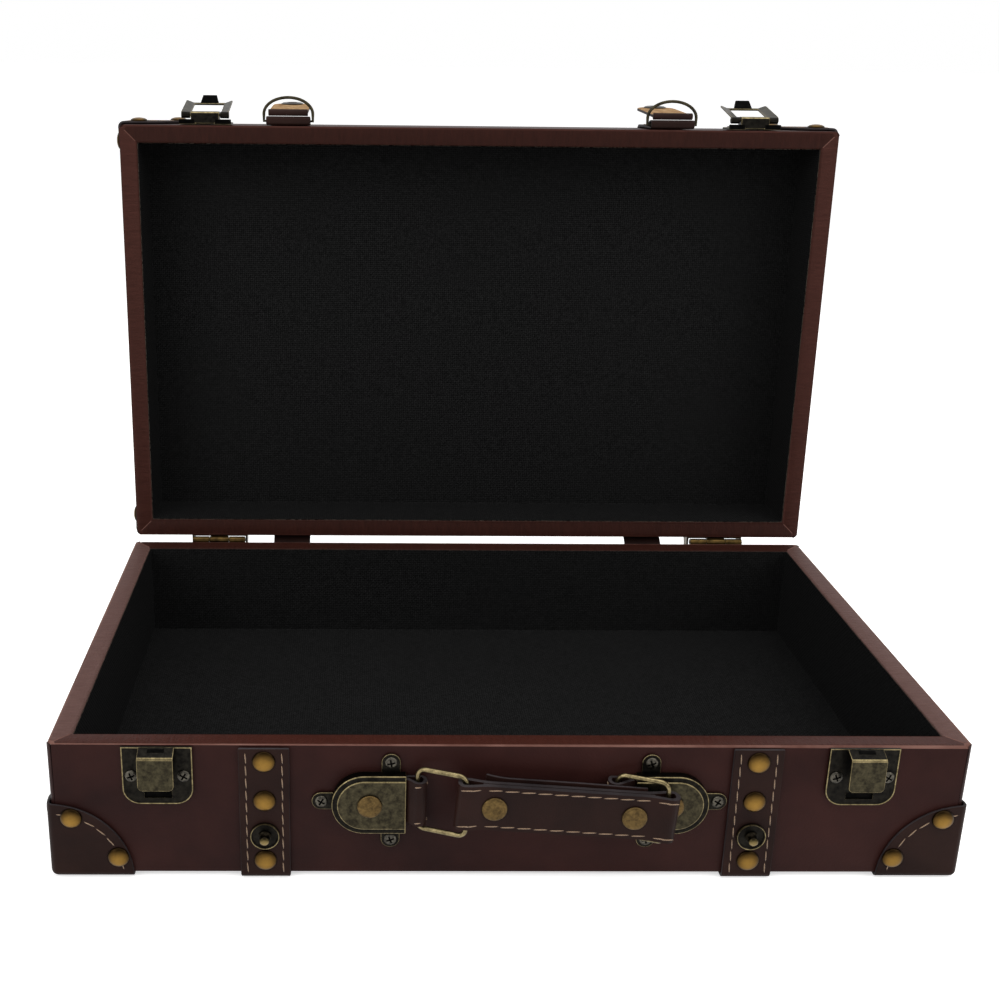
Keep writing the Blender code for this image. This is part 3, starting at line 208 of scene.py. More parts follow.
def domedMetal(name, foot, flank, crown, rough=(0.24, 0.38)):
    # Antique brass: darker round the foot and paler at the crown, partly patina in the crease and rubbed
    # brass, and partly painted shade and highlight that make the dome read as round. The upward-facing half
    # is painted darker still, as shade from above
    material, tree, shader, place = startMaterial(name, 1.0)
    plan = addNode(tree, "ShaderNodeUVMap", {"uv_map": "dome"})
    spot = addNode(tree, "ShaderNodeSeparateXYZ", links={0: plan.outputs["UV"]})
    # Painted shade: the more a point faces up in the closed box, the darker it is kept
    paintedShadeTilt = addNode(tree, "ShaderNodeMath", {"operation": "MULTIPLY", 1: domeLook["paintedShadeTilt"], "use_clamp": True},
                   {0: spot.outputs["X"]})
    height = addNode(tree, "ShaderNodeMath", {"operation": "MULTIPLY"},
                     {0: spot.outputs["Y"], 1: paintedShadeTilt.outputs[0]})
    mottle = addNode(tree, "ShaderNodeTexNoise", {"Scale": 1 / domeLook["mottle"], "Detail": 5.0,
                                                  "Roughness": 0.65}, {"Vector": place}).outputs["Fac"]
    level = addNode(tree, "ShaderNodeMath", {"operation": "MULTIPLY_ADD", 1: domeLook["unevenness"]},
                    {0: mottle, 2: height.outputs[0]})
    paintBetween(tree, shader, level.outputs[0], (foot, domeLook["foot"]), (flank, domeLook["flank"]),
                 (crown, domeLook["crown"]))
    spreadRoughness(tree, shader, mottle, rough[1], rough[0])
    return material


def threadMaterial(name, dark, light):
    # Waxed polyester thread: two plies, drawn as fine slanting ribs
    material, tree, shader, place = startMaterial(name, 0.0, 0.55)
    drawn = {"Scale": 1 / 0.0011, "Distortion": 1.5, "bands_direction": "DIAGONAL"}
    ribs = addNode(tree, "ShaderNodeTexWave", drawn, {"Vector": place}).outputs["Fac"]
    # The colour follows the ribs, paler on their crowns and darker in the grooves: painted highlight and
    # shade
    paintBetween(tree, shader, ribs, (dark, 0.1), (light, 0.8))
    bumpChain(tree, shader, [(ribs, 0.00005)])
    shader.inputs["Sheen Weight"].default_value = 0.25
    return material


def weaveMaterial(name, dark, light, thread=0.0011):
    # Coarse black lining cloth: plain weave, each thread over one and under the next.
    # A real thread is about half as wide; drawn coarser so that the weave shows
    material, tree, shader, place = startMaterial(name, 0.0, 0.82)
    plan = addNode(tree, "ShaderNodeUVMap", {"uv_map": "weave"})
    wobble = addNode(tree, "ShaderNodeTexNoise", {"Scale": 1 / 0.006, "Detail": 2.0}, {"Vector": place})
    strayed = addNode(tree, "ShaderNodeVectorMath", {"operation": "MULTIPLY_ADD", 1: (thread * 0.8,) * 3},
                      {0: wobble.outputs["Color"], 2: plan.outputs["UV"]}).outputs["Vector"]
    axes = addNode(tree, "ShaderNodeSeparateXYZ", links={0: strayed})
    ribs = []
    for axis in ("X", "Y"):
        phase = addNode(tree, "ShaderNodeMath", {"operation": "MULTIPLY", 1: math.pi / thread},
                        {0: axes.outputs[axis]})
        wave = addNode(tree, "ShaderNodeMath", {"operation": "SINE"}, {0: phase.outputs[0]})
        height = addNode(tree, "ShaderNodeMath", {"operation": "ABSOLUTE"}, {0: wave.outputs[0]})
        ribs.append(height.outputs[0])
    over = addNode(tree, "ShaderNodeTexChecker", {"Scale": 1 / thread, "Color1": (1, 1, 1, 1),
                                                 "Color2": (0, 0, 0, 1)}, {"Vector": strayed})
    weave = addNode(tree, "ShaderNodeMix", {"data_type": "FLOAT"},
                    {0: over.outputs["Fac"], 2: ribs[0], 3: ribs[1]}).outputs[0]
    slub = addNode(tree, "ShaderNodeTexNoise", {"Scale": 1 / 0.0014, "Detail": 4.0},
                   {"Vector": place}).outputs["Fac"]
    # The tone follows the weave, darker between the threads: painted shade, with uneven slubs
    tone = addNode(tree, "ShaderNodeMath", {"operation": "MULTIPLY"}, {0: weave, 1: slub}).outputs[0]
    paintBetween(tree, shader, tone, (dark, 0.08), (light, 0.62))
    bumpChain(tree, shader, [(weave, 0.00022), (slub, 0.00005)])
    shader.inputs["Specular IOR Level"].default_value = 0.06
    return material


def boardMaterial():
    # Plain poplar board: pale, straight grain a few millimetres apart
    material, tree, shader, place = startMaterial("poplar board", 0.0, 0.7)
    stretch = addNode(tree, "ShaderNodeMapping", {"Scale": (12.0, 260.0, 260.0)}, {"Vector": place})
    grain = addNode(tree, "ShaderNodeTexNoise", {"Scale": 1.0, "Detail": 5.0},
                    {"Vector": stretch.outputs["Vector"]}).outputs["Fac"]
    paintBetween(tree, shader, grain, ("#8f6f4c", evenTone["low"]), ("#b8966c", evenTone["high"]))
    bumpChain(tree, shader, [(grain, 0.0001)])
    return material


def rimMaterial(place, dark, light, along):
    # The leathercloth drawn over a rim: creases cross it, about a millimetre apart along the rim
    creases = [900.0 if axis == along else 150.0 for axis in "XYZ"]
    return leatherMaterial(f"brown PU leathercloth over the {place} rims", dark, light, wrinkle=creases)


# Leathercloth with a satin coat: soft sheen and cloudy tone, and creases that catch the light over the rims.
# The rim copies differ in tone as painted light and shade: the long base rims are paler than the walls,
# painted light on their upward faces; the short base rims are paler and greyer, a painted sheen; the lid and
# rear rims are darker, which on the base's back rim is painted shade under the lid
coverLeather = leatherMaterial("brown PU leathercloth", "#1e0e0d", "#321a17", cloud=0.060)
paintedLightRimLeather = rimMaterial("long base", "#2e140e", "#42211a", "X")
paintedSheenSideRimLeather = rimMaterial("short base", "#4a332f", "#624b46", "Y")
lidAndShadedRearRimLeather = rimMaterial("lid and rear", "#200e0a", "#341a14", "X")
lidSideLeather = rimMaterial("short lid", "#2e1813", "#432620", "Z")
# Paler leathercloth: rubbed wear in the mitre folds, and on the base's outer lip a painted highlight along
# the edge
rubbedFoldAndLipHighlightLeather = leatherMaterial("brown PU leathercloth rubbed at a fold", "#4d2f28", "#75554c", 0.0014)
# Straps and handle: smoother and darker than the cover, with a finer grain
trimLeather = leatherMaterial("dark brown PU strap leather", "#180d0b", "#281814", 0.0009, 0.00005,
                              (0.42, 0.6))
handleLeather = leatherMaterial("dark brown PU handle leather", "#190e0c", "#281713", 0.0008, 0.00004,
                                (0.36, 0.5))
# Cut edges: a dull grey-black line round each leather, and matt pale nap on the suede side
edgePaint = leatherMaterial("black-brown leather edge paint", "#221e1f", "#3a3536", 0.0016, 0.00008,
                            (0.45, 0.7))
tanSuede = leatherMaterial("tan suede leather back", "#6b4c30", "#b0916a", 0.0007, 0.00012, (0.8, 0.95),
                           cloud=0.004)
# Antique bronze: dark and mottled on the flats, paler and shinier where hands rub its edges
bronze = metalMaterial("antique-bronze plated steel", "#1e1b15", "#3f3a2b", (0.34, 0.5))
bronzeRubbed = metalMaterial("antique bronze rubbed to brass at the edges", "#4c4430", "#857857",
                             (0.24, 0.36))
bronzeDark = metalMaterial("blackened bronze plate", "#0d0c0b", "#1e1c18", (0.36, 0.5))
# Near-black: painted shade in the screw recesses and the keeper's slot and ledge; also used on the hasp catch
# and the lid plate's feet
blackMetalAndPaintedShade = metalMaterial("near-black metal and painted recess shade", "#040404", "#0c0b0a", (0.6, 0.8))
# Nails and snaps: darker round the foot and paler at the crown, partly patina and partly painted shade and
# highlight, so that each dome reads as round
nailBrass = domedMetal("domed nail in antique brass", "#1d1409", "#4e3a1b", "#86662f")
studBrass = domedMetal("snap stud in antique brass", "#14110c", "#3c341f", "#786844")
# Flat rivets, hinges and screws: plain worn metal with small spots
rivetBrass = metalMaterial("flat rivet in antique brass", "#3a2e1c", "#5c4a2c", (0.32, 0.46), 0.002)
hingeBrass = metalMaterial("brass plated steel hinge", "#241c0e", "#4f3e21", (0.3, 0.45), 0.003)
screwSteel = metalMaterial("bronze washed screw steel", "#2b2926", "#565249", (0.3, 0.45), 0.0015)
# Thread: tan stitches with fine slanting plies, the palest line on the box
waxedThread = threadMaterial("tan waxed thread", "#574230", "#927659")
# Lining: near-black cloth whose weave is painted into its tone, paler on the threads and darker between them
# as painted highlight and shade, with a paler cut edge
liningCloth = weaveMaterial("black woven lining cloth", "#010101", "#1e1e1e")
liningEdge = leatherMaterial("raw cut edge of the lining cloth", "#3b342e", "#5f564d", 0.0009, 0.0001,
                             (0.8, 0.95))
poplarBoard = boardMaterial()
print("materials made")


# Modelling helpers

def finishPiece(name, bm, materials, body, place=noTurn, replaces=(), thick=0.0, bevel=0.0, rub=0.0,
                segments=2, angle=50):
    # Bevelled edges keep their faces' material, and rubbed ones take the second
    bmesh.ops.remove_doubles(bm, verts=bm.verts[:], dist=0.000002)
    bmesh.ops.transform(bm, matrix=place, verts=bm.verts[:])
    bmesh.ops.recalc_face_normals(bm, faces=bm.faces[:])
    mesh = bpy.data.meshes.new(name)
    bm.to_mesh(mesh)
    bm.free()
    for material in materials:
        mesh.materials.append(material)
    mesh.shade_smooth()
    piece = bpy.data.objects.new(name, mesh)
    bpy.context.scene.collection.objects.link(piece)
    if thick:
        skin = piece.modifiers.new("thickness", "SOLIDIFY")
        skin.thickness = thick
        skin.offset = 0.0
        skin.material_offset_rim = 1 if len(materials) > 1 else 0
        skin.use_even_offset = True
    if bevel or rub:
        edge = piece.modifiers.new("edges", "BEVEL")
        edge.width = bevel or rub
        edge.segments = segments
        edge.limit_method = "ANGLE"
        edge.angle_limit = math.radians(angle)
        edge.material = 1 if rub else -1
    if thick or bevel or rub:
        even = piece.modifiers.new("even shading", "WEIGHTED_NORMAL")
        even.keep_sharp = True
        even.weight = 80
    else:
        mesh.set_sharp_from_angle(angle=math.radians(angle))
    if isinstance(body, str):
        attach(piece, body)
    else:
        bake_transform(piece)
    if replaces:
        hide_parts(*replaces)


def joined(*parts):
    whole = bmesh.new()
    for part in parts:
        mesh = bpy.data.meshes.new("part")
        part.to_mesh(mesh)
        part.free()
        whole.from_mesh(mesh)
        bpy.data.meshes.remove(mesh)
    return whole


def moved(bm, matrix):
    bmesh.ops.transform(bm, matrix=matrix, verts=bm.verts[:])
    return bm


def carved(bm, tool):
    # Cuts one shape with another through a Boolean; both are used up
    pair = []
    for shape in (bm, tool):
        bmesh.ops.recalc_face_normals(shape, faces=shape.faces[:])
        mesh = bpy.data.meshes.new("carve")
        shape.to_mesh(mesh)
        shape.free()
        thing = bpy.data.objects.new("carve", mesh)
        bpy.context.scene.collection.objects.link(thing)
        pair.append(thing)
    change = pair[0].modifiers.new("cut", "BOOLEAN")
    change.operation = "DIFFERENCE"
    change.solver = "EXACT"
    change.object = pair[1]
    bpy.context.view_layer.update()
    seen = pair[0].evaluated_get(bpy.context.evaluated_depsgraph_get())
    result = bmesh.new()
    result.from_mesh(seen.to_mesh())
    seen.to_mesh_clear()
    for thing in pair:
        data = thing.data
        bpy.data.objects.remove(thing)
        bpy.data.meshes.remove(data)
    return result


def slab(low, high):
    bm = bmesh.new()
    middle = [(a + b) / 2 for a, b in zip(low, high)]
    size = [b - a for a, b in zip(low, high)]
    bmesh.ops.create_cube(bm, size=1, matrix=Matrix.Translation(middle) @ Matrix.Diagonal((*size, 1)))
    return bm


def edgesAlong(bm, axis):
    return [edge for edge in bm.edges
            if abs((edge.verts[0].co - edge.verts[1].co).normalized()[axis]) > 0.999]


def roundEdges(bm, edges, radius, steps, slot=-1):
    return bmesh.ops.bevel(bm, geom=edges, offset=radius, segments=steps, profile=0.5, affect="EDGES",
                           material=slot)


def roundCorners(bm, verts, radius, steps):
    bmesh.ops.bevel(bm, geom=verts, offset=radius, segments=steps, profile=0.5, affect="VERTICES",
                    material=-1)


def splitAt(bm, point, normal, clear=False):
    # Cuts all faces along a plane, and clears what lies behind it where asked
    bmesh.ops.bisect_plane(bm, geom=bm.verts[:] + bm.edges[:] + bm.faces[:], plane_co=point, plane_no=normal,
                           clear_inner=clear)


def pulled(bm, grown, way):
    # Moves the points that an extrusion has made
    verts = [item for item in grown["geom"] if isinstance(item, bmesh.types.BMVert)]
    bmesh.ops.translate(bm, verts=verts, vec=way)


def slotFaces(bm, rule):
    # The rule gives each face its material slot from its middle and its normal
    bm.normal_update()
    for face in bm.faces:
        face.material_index = rule(face.calc_center_median(), face.normal)


def faceAt(bm, axis, value):
    return max((face for face in bm.faces
                if abs(face.calc_center_median()[axis] - value) < 0.00001
                and abs(face.normal[axis]) > 0.99), key=lambda face: face.calc_area())


def roundedPlate(low, high, cornerRadii, steps=8):
    # A flat plate whose four corners are rounded one by one, in the order right top round to right bottom
    bm = slab(low, high)
    corners = ((high[0], high[1]), (low[0], high[1]), (low[0], low[1]), (high[0], low[1]))
    for corner, radius in zip(corners, cornerRadii):
        if radius:
            edges = [edge for edge in edgesAlong(bm, 2)
                     if (edge.verts[0].co.xy - Vector(corner)).length < 0.00001]
            roundEdges(bm, edges, radius, steps)
    return bm


def turnedShape(profile, steps):
    # Each point of the profile is a radius and a height
    bm = bmesh.new()
    verts = [bm.verts.new((radius, 0, height)) for radius, height in profile]
    pairs = [pair for pair in zip(verts, verts[1:]) if pair[0].co.x or pair[1].co.x]
    edges = [bm.edges.new(pair) for pair in pairs]
    bmesh.ops.spin(bm, geom=verts + edges, cent=(0, 0, 0), axis=(0, 0, 1), angle=2 * math.pi, steps=steps,
                   use_merge=True)
    bmesh.ops.remove_doubles(bm, verts=bm.verts[:], dist=0.000002)
    return bm


def rod(radius, low, high, steps):
    return turnedShape(((0, low), (radius, low), (radius, high), (0, high)), steps)


def bandSurface(points, width, closed=False):
    # The long path lies in x and z; the strap's width runs along y. Each point has its own bend radius
    bm = bmesh.new()
    verts = [bm.verts.new((x, -width / 2, z)) for x, z, bend in points]
    for pair in zip(verts, verts[1:] + verts[:1] if closed else verts[1:]):
        bm.edges.new(pair)
    for vert, (x, z, bend) in zip(list(verts), points):
        if bend:
            roundCorners(bm, [vert], bend, 6)
    pulled(bm, bmesh.ops.extrude_edge_only(bm, edges=bm.edges[:]), (0, width, 0))
    return bm


def wireShape(points, radius):
    # A closed loop of round wire
    drawing = bpy.data.curves.new("wire", "CURVE")
    drawing.dimensions = "3D"
    drawing.bevel_depth = radius
    drawing.bevel_resolution = 4
    spline = drawing.splines.new("POLY")
    spline.points.add(len(points) - 1)
    spline.use_cyclic_u = True
    for point, place in zip(spline.points, points):
        point.co = (*place, 1)
    holder = bpy.data.objects.new("wire", drawing)
    bpy.context.scene.collection.objects.link(holder)
    bpy.context.view_layer.update()
    mesh = bpy.data.meshes.new_from_object(holder.evaluated_get(bpy.context.evaluated_depsgraph_get()))
    bpy.data.objects.remove(holder)
    bm = bmesh.new()
    bm.from_mesh(mesh)
    bpy.data.meshes.remove(mesh)
    return bm


def arcPoints(centre, radius, start, end, steps):
    angles = [math.radians(start + (end - start) * i / steps) for i in range(steps + 1)]
    return [(centre[0] + radius * math.cos(angle), centre[1] + radius * math.sin(angle)) for angle in angles]


# Small fittings that repeat: stitches, nails, screws and rivets

stitch = {"length": 0.0052, "pitch": 0.0057, "width": 0.00058, "rise": 0.00032, "slant": 0.07}


def addStitch(bm, middle, along, out, length=None):
    across = out.cross(along)
    turn = Matrix((along, across, out)).transposed().to_4x4() @ Matrix.Rotation(stitch["slant"], 4, "Z")
    size = Matrix.Diagonal((length or stitch["length"], stitch["width"], stitch["rise"] * 2, 1))
    bmesh.ops.create_uvsphere(bm, u_segments=8, v_segments=5, radius=0.5,
                              matrix=Matrix.Translation(middle) @ turn @ size)


def stitchLine(bm, start, end, out, coarse=1.0):
    start, end, out = Vector(start), Vector(end), Vector(out)
    count = max(1, round((end - start).length / stitch["pitch"] / coarse))
    along = (end - start).normalized()
    for i in range(count):
        addStitch(bm, start.lerp(end, (i + 0.5) / count), along, out, stitch["length"] * coarse)


def stitchArc(bm, radius, start, end, height):
    # A run on a circle in the x y plane round the origin
    count = max(1, round(math.radians(end - start) * radius / stitch["pitch"]))
    for i in range(count):
        angle = math.radians(start + (end - start) * (i + 0.5) / count)
        out = Vector((math.cos(angle), math.sin(angle), 0))
        addStitch(bm, out * radius + Vector((0, 0, height)), Vector((-out.y, out.x, 0)), Vector((0, 0, 1)))


def domeProfile(radius, rise, rim, step):
    # A low cylinder of the rim's height with a dome on it
    angles = [math.radians(angle) for angle in range(0, 90, step)]
    dome = [(radius * math.cos(angle), rim + (rise - rim) * math.sin(angle)) for angle in angles]
    return [(0, 0), (radius, 0), *dome, (0, rise)]


def addDomeMap(bm, base, rise):
    # How high each point lies on its dome, so that the foot can be darker: patina, and painted shade in the
    # crease
    plan = bm.loops.layers.uv.new("dome")
    for face in bm.faces:
        for loop in face.loops:
            loop[plan].uv = (0.5, min(1.0, max(0.0, (loop.vert.co.z - base) / rise)))


def paintShadeOnDomes(bm, place):
    # How far each point faces down in the closed box, so that the upper half of each dome is painted darker,
    # as shade from above
    bmesh.ops.recalc_face_normals(bm, faces=bm.faces[:])
    bm.normal_update()
    plan = bm.loops.layers.uv["dome"]
    turn = place.to_3x3()
    for face in bm.faces:
        for loop in face.loops:
            loop[plan].uv = (0.5 - 0.5 * (turn @ loop.vert.normal).z, loop[plan].uv.y)
    return bm


nailRim = 0.0002


def nailShape(radius, rise):
    head = turnedShape(domeProfile(radius, rise, nailRim, 12), 28)
    addDomeMap(head, 0.0, rise)
    return head


screw = {"radius": 0.0026, "rise": 0.0011, "rim": 0.0003, "wing": 0.0017, "slot": 0.00036, "deep": 0.0006,
         "turn": 0.35, "nextTurn": 0.7}


def screwShape():
    # A pan head with a cross recess, whose floor and walls take the second slot, near-black as painted shade
    # in the recess
    rise, wing, slot = screw["rise"], screw["wing"], screw["slot"]
    floor = rise - screw["deep"]
    head = turnedShape(domeProfile(screw["radius"], rise, screw["rim"], 15), 24)
    for turn in (0, math.pi / 2):
        blade = slab((-wing, -slot, floor), (wing, slot, rise * 2))
        head = carved(head, moved(blade, Matrix.Rotation(turn + screw["turn"], 4, "Z")))

    def slotOf(middle, normal):
        inside = middle.xy.length < wing and middle.z > floor - screw["rim"] * 0.1
        sunk = middle.z < floor + screw["deep"] * 0.1 or abs(normal.z) < 0.05
        return 1 if inside and sunk else 0

    slotFaces(head, slotOf)
    return head


screwPattern = screwShape()


def addScrews(name, places, base, body, place):
    # Each screw is turned a little further than the one before
    heads = [moved(screwPattern.copy(), moveBy(x, y, base) @ Matrix.Rotation(i * screw["nextTurn"], 4, "Z"))
             for i, (x, y) in enumerate(places)]
    finishPiece(name, joined(*heads), [screwSteel, blackMetalAndPaintedShade], body, place, angle=40)


def rivetHead(radius, rise=0.0010):
    return turnedShape(((0, 0), (radius, 0), (radius, rise * 0.35), (radius * 0.96, rise * 0.7),
                        (radius * 0.88, rise * 0.9), (radius * 0.6, rise), (0, rise)), 40)


# Trays

def boxShell(inset, low, high, cornerRound, edgeRound, openTop):
    # A box with round upright edges, open at the top or at the bottom
    bm = slab((-side + inset, front + inset, low), (side - inset, back - inset, high))
    roundEdges(bm, edgesAlong(bm, 2), cornerRound, 6)
    roundEdges(bm, list(faceAt(bm, 2, low if openTop else high).edges), edgeRound, 4)
    bm.normal_update()
    bmesh.ops.delete(bm, geom=[faceAt(bm, 2, high if openTop else low)], context="FACES_ONLY")
    return bm


def wallDepths(place):
    # How far a point lies in from the nearest short side, and from the front or back
    return side - abs(place.x), min(place.y - front, back - place.y)


def cornerLead(place):
    # Below zero nearer a short side, above zero nearer the front or back
    fromSide, fromFace = wallDepths(place)
    return fromSide - fromFace


def onOuterLip(edge):
    # An edge that starts on the outer face, or runs round a corner of it
    fromSide, fromFace = wallDepths(edge.verts[0].co)
    inner = box["wall"] - box["gap"]
    return fromSide < inner and fromFace < inner or min(fromSide, fromFace) < box["gap"]


def trayCover(name, node, low, high, floor, openTop, body, place, rimMaterials):
    # Rim slots after the cover's own: front, sides, back, mitres and outer lip
    rimLevel, inward = (high, -1) if openTop else (low, 1)
    bm = slab((-side, front, low), (side, back, high))
    bm.normal_update()
    mouth = faceAt(bm, 2, rimLevel)
    rims = bmesh.ops.inset_region(bm, faces=[mouth], thickness=box["wall"] + box["gap"], use_even_offset=True)
    for face in rims["faces"]:
        face.material_index = 1
    pulled(bm, bmesh.ops.extrude_face_region(bm, geom=[mouth]), (0, 0, floor - rimLevel))
    bmesh.ops.delete(bm, geom=[mouth], context="FACES_ONLY")
    outside = [edge for edge in edgesAlong(bm, 2) if abs(edge.verts[0].co.x) > side - 0.0001]
    roundEdges(bm, outside, box["cornerRound"], 6)
    shut = faceAt(bm, 2, low if openTop else high)
    roundEdges(bm, list(shut.edges), box["edgeRound"], 4)

    def onRim(edge):
        return all(abs(vert.co.z - rimLevel) < 0.00001 for vert in edge.verts)

    lips = [edge for edge in bm.edges
            if onRim(edge) and len({face.material_index for face in edge.link_faces}) == 2]
    outerLips = [edge for edge in lips if onOuterLip(edge)]
    innerLips = [edge for edge in lips if edge not in outerLips]
    # Outer lips take the fifth rim slot: on the base a paler leather, a painted highlight along the edge
    for edges, slot in ((outerLips, 5), (innerLips, 1)):
        roundEdges(bm, edges, box["lipRound"], 4, slot)
    for face in [face for face in bm.faces if face.material_index == 1]:
        middle = face.calc_center_median()
        if cornerLead(middle) < 0:
            face.material_index = 2
        elif back - middle.y < middle.y - front:
            face.material_index = 3
    mitres = [edge for edge in bm.edges
              if onRim(edge) and {face.material_index for face in edge.link_faces} in ({1, 2}, {2, 3})]
    for vert in roundEdges(bm, mitres, box["mitre"], 2, 4)["verts"]:
        if abs(cornerLead(vert.co)) < 0.00002:
            vert.co.z += inward * box["mitre"]
    finishPiece(name, bm, [coverLeather, *rimMaterials], body, place, (node,), angle=60)


def addWeaveMap(bm):
    # Each face is laid flat along the two axes that it faces least
    bm.normal_update()
    plan = bm.loops.layers.uv.new("weave")
    for face in bm.faces:
        lead = max(range(3), key=lambda axis: abs(face.normal[axis]))
        first, second = [axis for axis in range(3) if axis != lead]
        for loop in face.loops:
            loop[plan].uv = (loop.vert.co[first], loop.vert.co[second])


def trayLining(name, node, rimLevel, floor, openTop, body, place):
    low, high = (floor, rimLevel - box["clothDrop"]) if openTop else (rimLevel + box["clothDrop"], floor)
    bm = boxShell(box["wall"] + box["cloth"] * 0.5 - box["gap"], low, high, box["clothCorner"],
                  box["clothEdge"], openTop)
    addWeaveMap(bm)
    finishPiece(name, bm, [liningCloth, liningEdge], body, place, (node,), thick=box["cloth"], angle=60)


baseFloor, lidFloor = underside + box["baseFloor"], lidTop - box["lidPanel"]
# On the base the short rims carry the painted sheen and the back rim the painted shade under the lid
trayCover("base_cover_leathercloth", "base_leather_cover", underside, rim, baseFloor - box["underCloth"],
          True, "base", noTurn, (paintedLightRimLeather, paintedSheenSideRimLeather, lidAndShadedRearRimLeather, rubbedFoldAndLipHighlightLeather, rubbedFoldAndLipHighlightLeather))
trayCover("lid_cover_leathercloth", "lid_leather_cover", lidRim, lidTop, lidFloor + box["underCloth"],
          False, "lid", lidOpen, (lidAndShadedRearRimLeather, lidSideLeather, lidAndShadedRearRimLeather, rubbedFoldAndLipHighlightLeather, lidSideLeather))
trayLining("base_lining_cloth", "base_fabric_lining", rim, baseFloor, True, "base", noTurn)
trayLining("lid_lining_cloth", "lid_fabric_lining", lidRim, lidFloor, False, "lid", lidOpen)
print("trays dressed")


# Corner patches: three quarter discs of leather folded round the corner, stitched and nailed

patch = {"radius": 0.0340, "leather": 0.0012, "gap": 0.0003, "edge": 0.0024, "seam": 0.0052,
         "nailHigh": 0.0270, "nailLow": 0.0086, "nailRadius": 0.0045, "nailRise": 0.0018}


def quarterDisc(radius):
    bm = bmesh.new()
    bmesh.ops.create_circle(bm, cap_ends=True, segments=64, radius=radius)
    for normal in ((1, 0, 0), (0, 1, 0)):
        splitAt(bm, (0, 0, 0), normal, clear=True)
    return bm


def cornerPatch(name, node, body, place):
    upright, sideways = turnBy(90, "X"), turnBy(-90, "Y")
    bm = joined(*[moved(quarterDisc(patch["radius"]), turn) for turn in (noTurn, upright, sideways)])
    bmesh.ops.remove_doubles(bm, verts=bm.verts[:], dist=0.000005)
    bmesh.ops.recalc_face_normals(bm, faces=bm.faces[:])
    roundEdges(bm, [edge for edge in bm.edges if len(edge.link_faces) == 2], patch["edge"], 5)
    reach = patch["gap"] + patch["leather"] / 2
    finishPiece(f"{name}_leather", moved(bm, moveBy(-reach, -reach, -reach)), [trimLeather, edgePaint], body,
                place, (node,), thick=patch["leather"], bevel=0.00035)
    outside = patch["gap"] + patch["leather"]
    walls = (moveBy(0, -outside, 0) @ upright, moveBy(-outside, 0, 0) @ sideways)
    under = moveBy(0, 0, -outside) @ turnBy(180, "X") @ turnBy(-90, "Z")
    runs = []
    for flat in (*walls, under):
        run = bmesh.new()
        stitchArc(run, patch["radius"] - patch["seam"], 4, 86, 0)
        runs.append(moved(run, flat))
    finishPiece(f"{name}_stitches", joined(*runs), [waxedThread], body, place, angle=80)
    spots = ((patch["nailLow"], patch["nailHigh"]), (patch["nailHigh"], patch["nailLow"]))
    nails = [moved(nailShape(patch["nailRadius"], patch["nailRise"]), flat @ moveBy(across, up, 0))
             for flat in walls for across, up in spots]
    closed = lidOpen.inverted() @ place if body == "lid" else place
    finishPiece(f"{name}_nails", paintShadeOnDomes(joined(*nails), closed), [nailBrass], body, place,
                angle=40)


corners = {"front_left": (-side, front), "front_right": (side, front), "back_right": (side, back),
           "back_left": (-side, back)}
for index, (where, (x, y)) in enumerate(corners.items()):
    angle = 90 * index
    cornerPatch(f"base_patch_{where}", f"base_corner_{where}", "base",
                moveBy(x, y, underside) @ turnBy(angle, "Z"))
    over = turnBy(angle + 180, "Z") @ turnBy(180, "X") @ turnBy(90, "Z")
    cornerPatch(f"lid_patch_{where}", f"lid_corner_{where}", "lid", lidOpen @ moveBy(x, y, lidTop) @ over)
print("corner patches dressed")


# Straps with their seams, nails and snap studs

strap = {"width": 0.0205, "leather": 0.0015, "gap": 0.0003, "topDrop": 0.0008, "backDrop": 0.0120,
         "lidFoot": 0.0108, "lidBack": 0.0125, "bend": 0.0022, "seam": 0.0029, "seamInset": 0.0030,
         "seamEnds": {"rim": 0.0022, "floor": 0.0010, "lidFoot": 0.0010, "lidTop": 0.0015, "back": 0.0012},
         "nailDrops": (0.0065, 0.0245, 0.0525), "nailRadius": 0.0047, "nailRise": 0.0016,
         "studDrop": 0.0407, "bridgeSteps": 8, "bridgeThin": 0.9}
strapX = (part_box("base_strap_right")[0].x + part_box("base_strap_right")[1].x) / 2
strapFace = strap["gap"] + strap["leather"]
alongDepth = turnBy(90, "Z")       # turns a path drawn in x and z into one in y and z


def strapLoop(name, ends, shut, out, body, place):
    # A strap up the front, over the tray's shut face and down the back; out is the way that face looks
    half, bend = strap["gap"] + strap["leather"] / 2, strap["bend"]
    path = ((front - half, ends[0], 0), (front - half, shut + out * half, bend),
            (back + half, shut + out * half, bend), (back + half, ends[1], 0))
    band = moved(bandSurface(path, strap["width"]), alongDepth)
    finishPiece(f"{name}_leather", band, [trimLeather, edgePaint], body, place, (name,),
                thick=strap["leather"], bevel=0.00045)


def strapSeams(name, runs, body, place):
    # Each run is drawn as two points in y and z, and the way its stitches look
    bm = bmesh.new()
    for sideX in (-1, 1):
        x = sideX * (strap["width"] / 2 - strap["seam"])
        for start, end, out in runs:
            stitchLine(bm, (x, *start), (x, *end), (0, *out))
    finishPiece(name, bm, [waxedThread], body, place, angle=80)


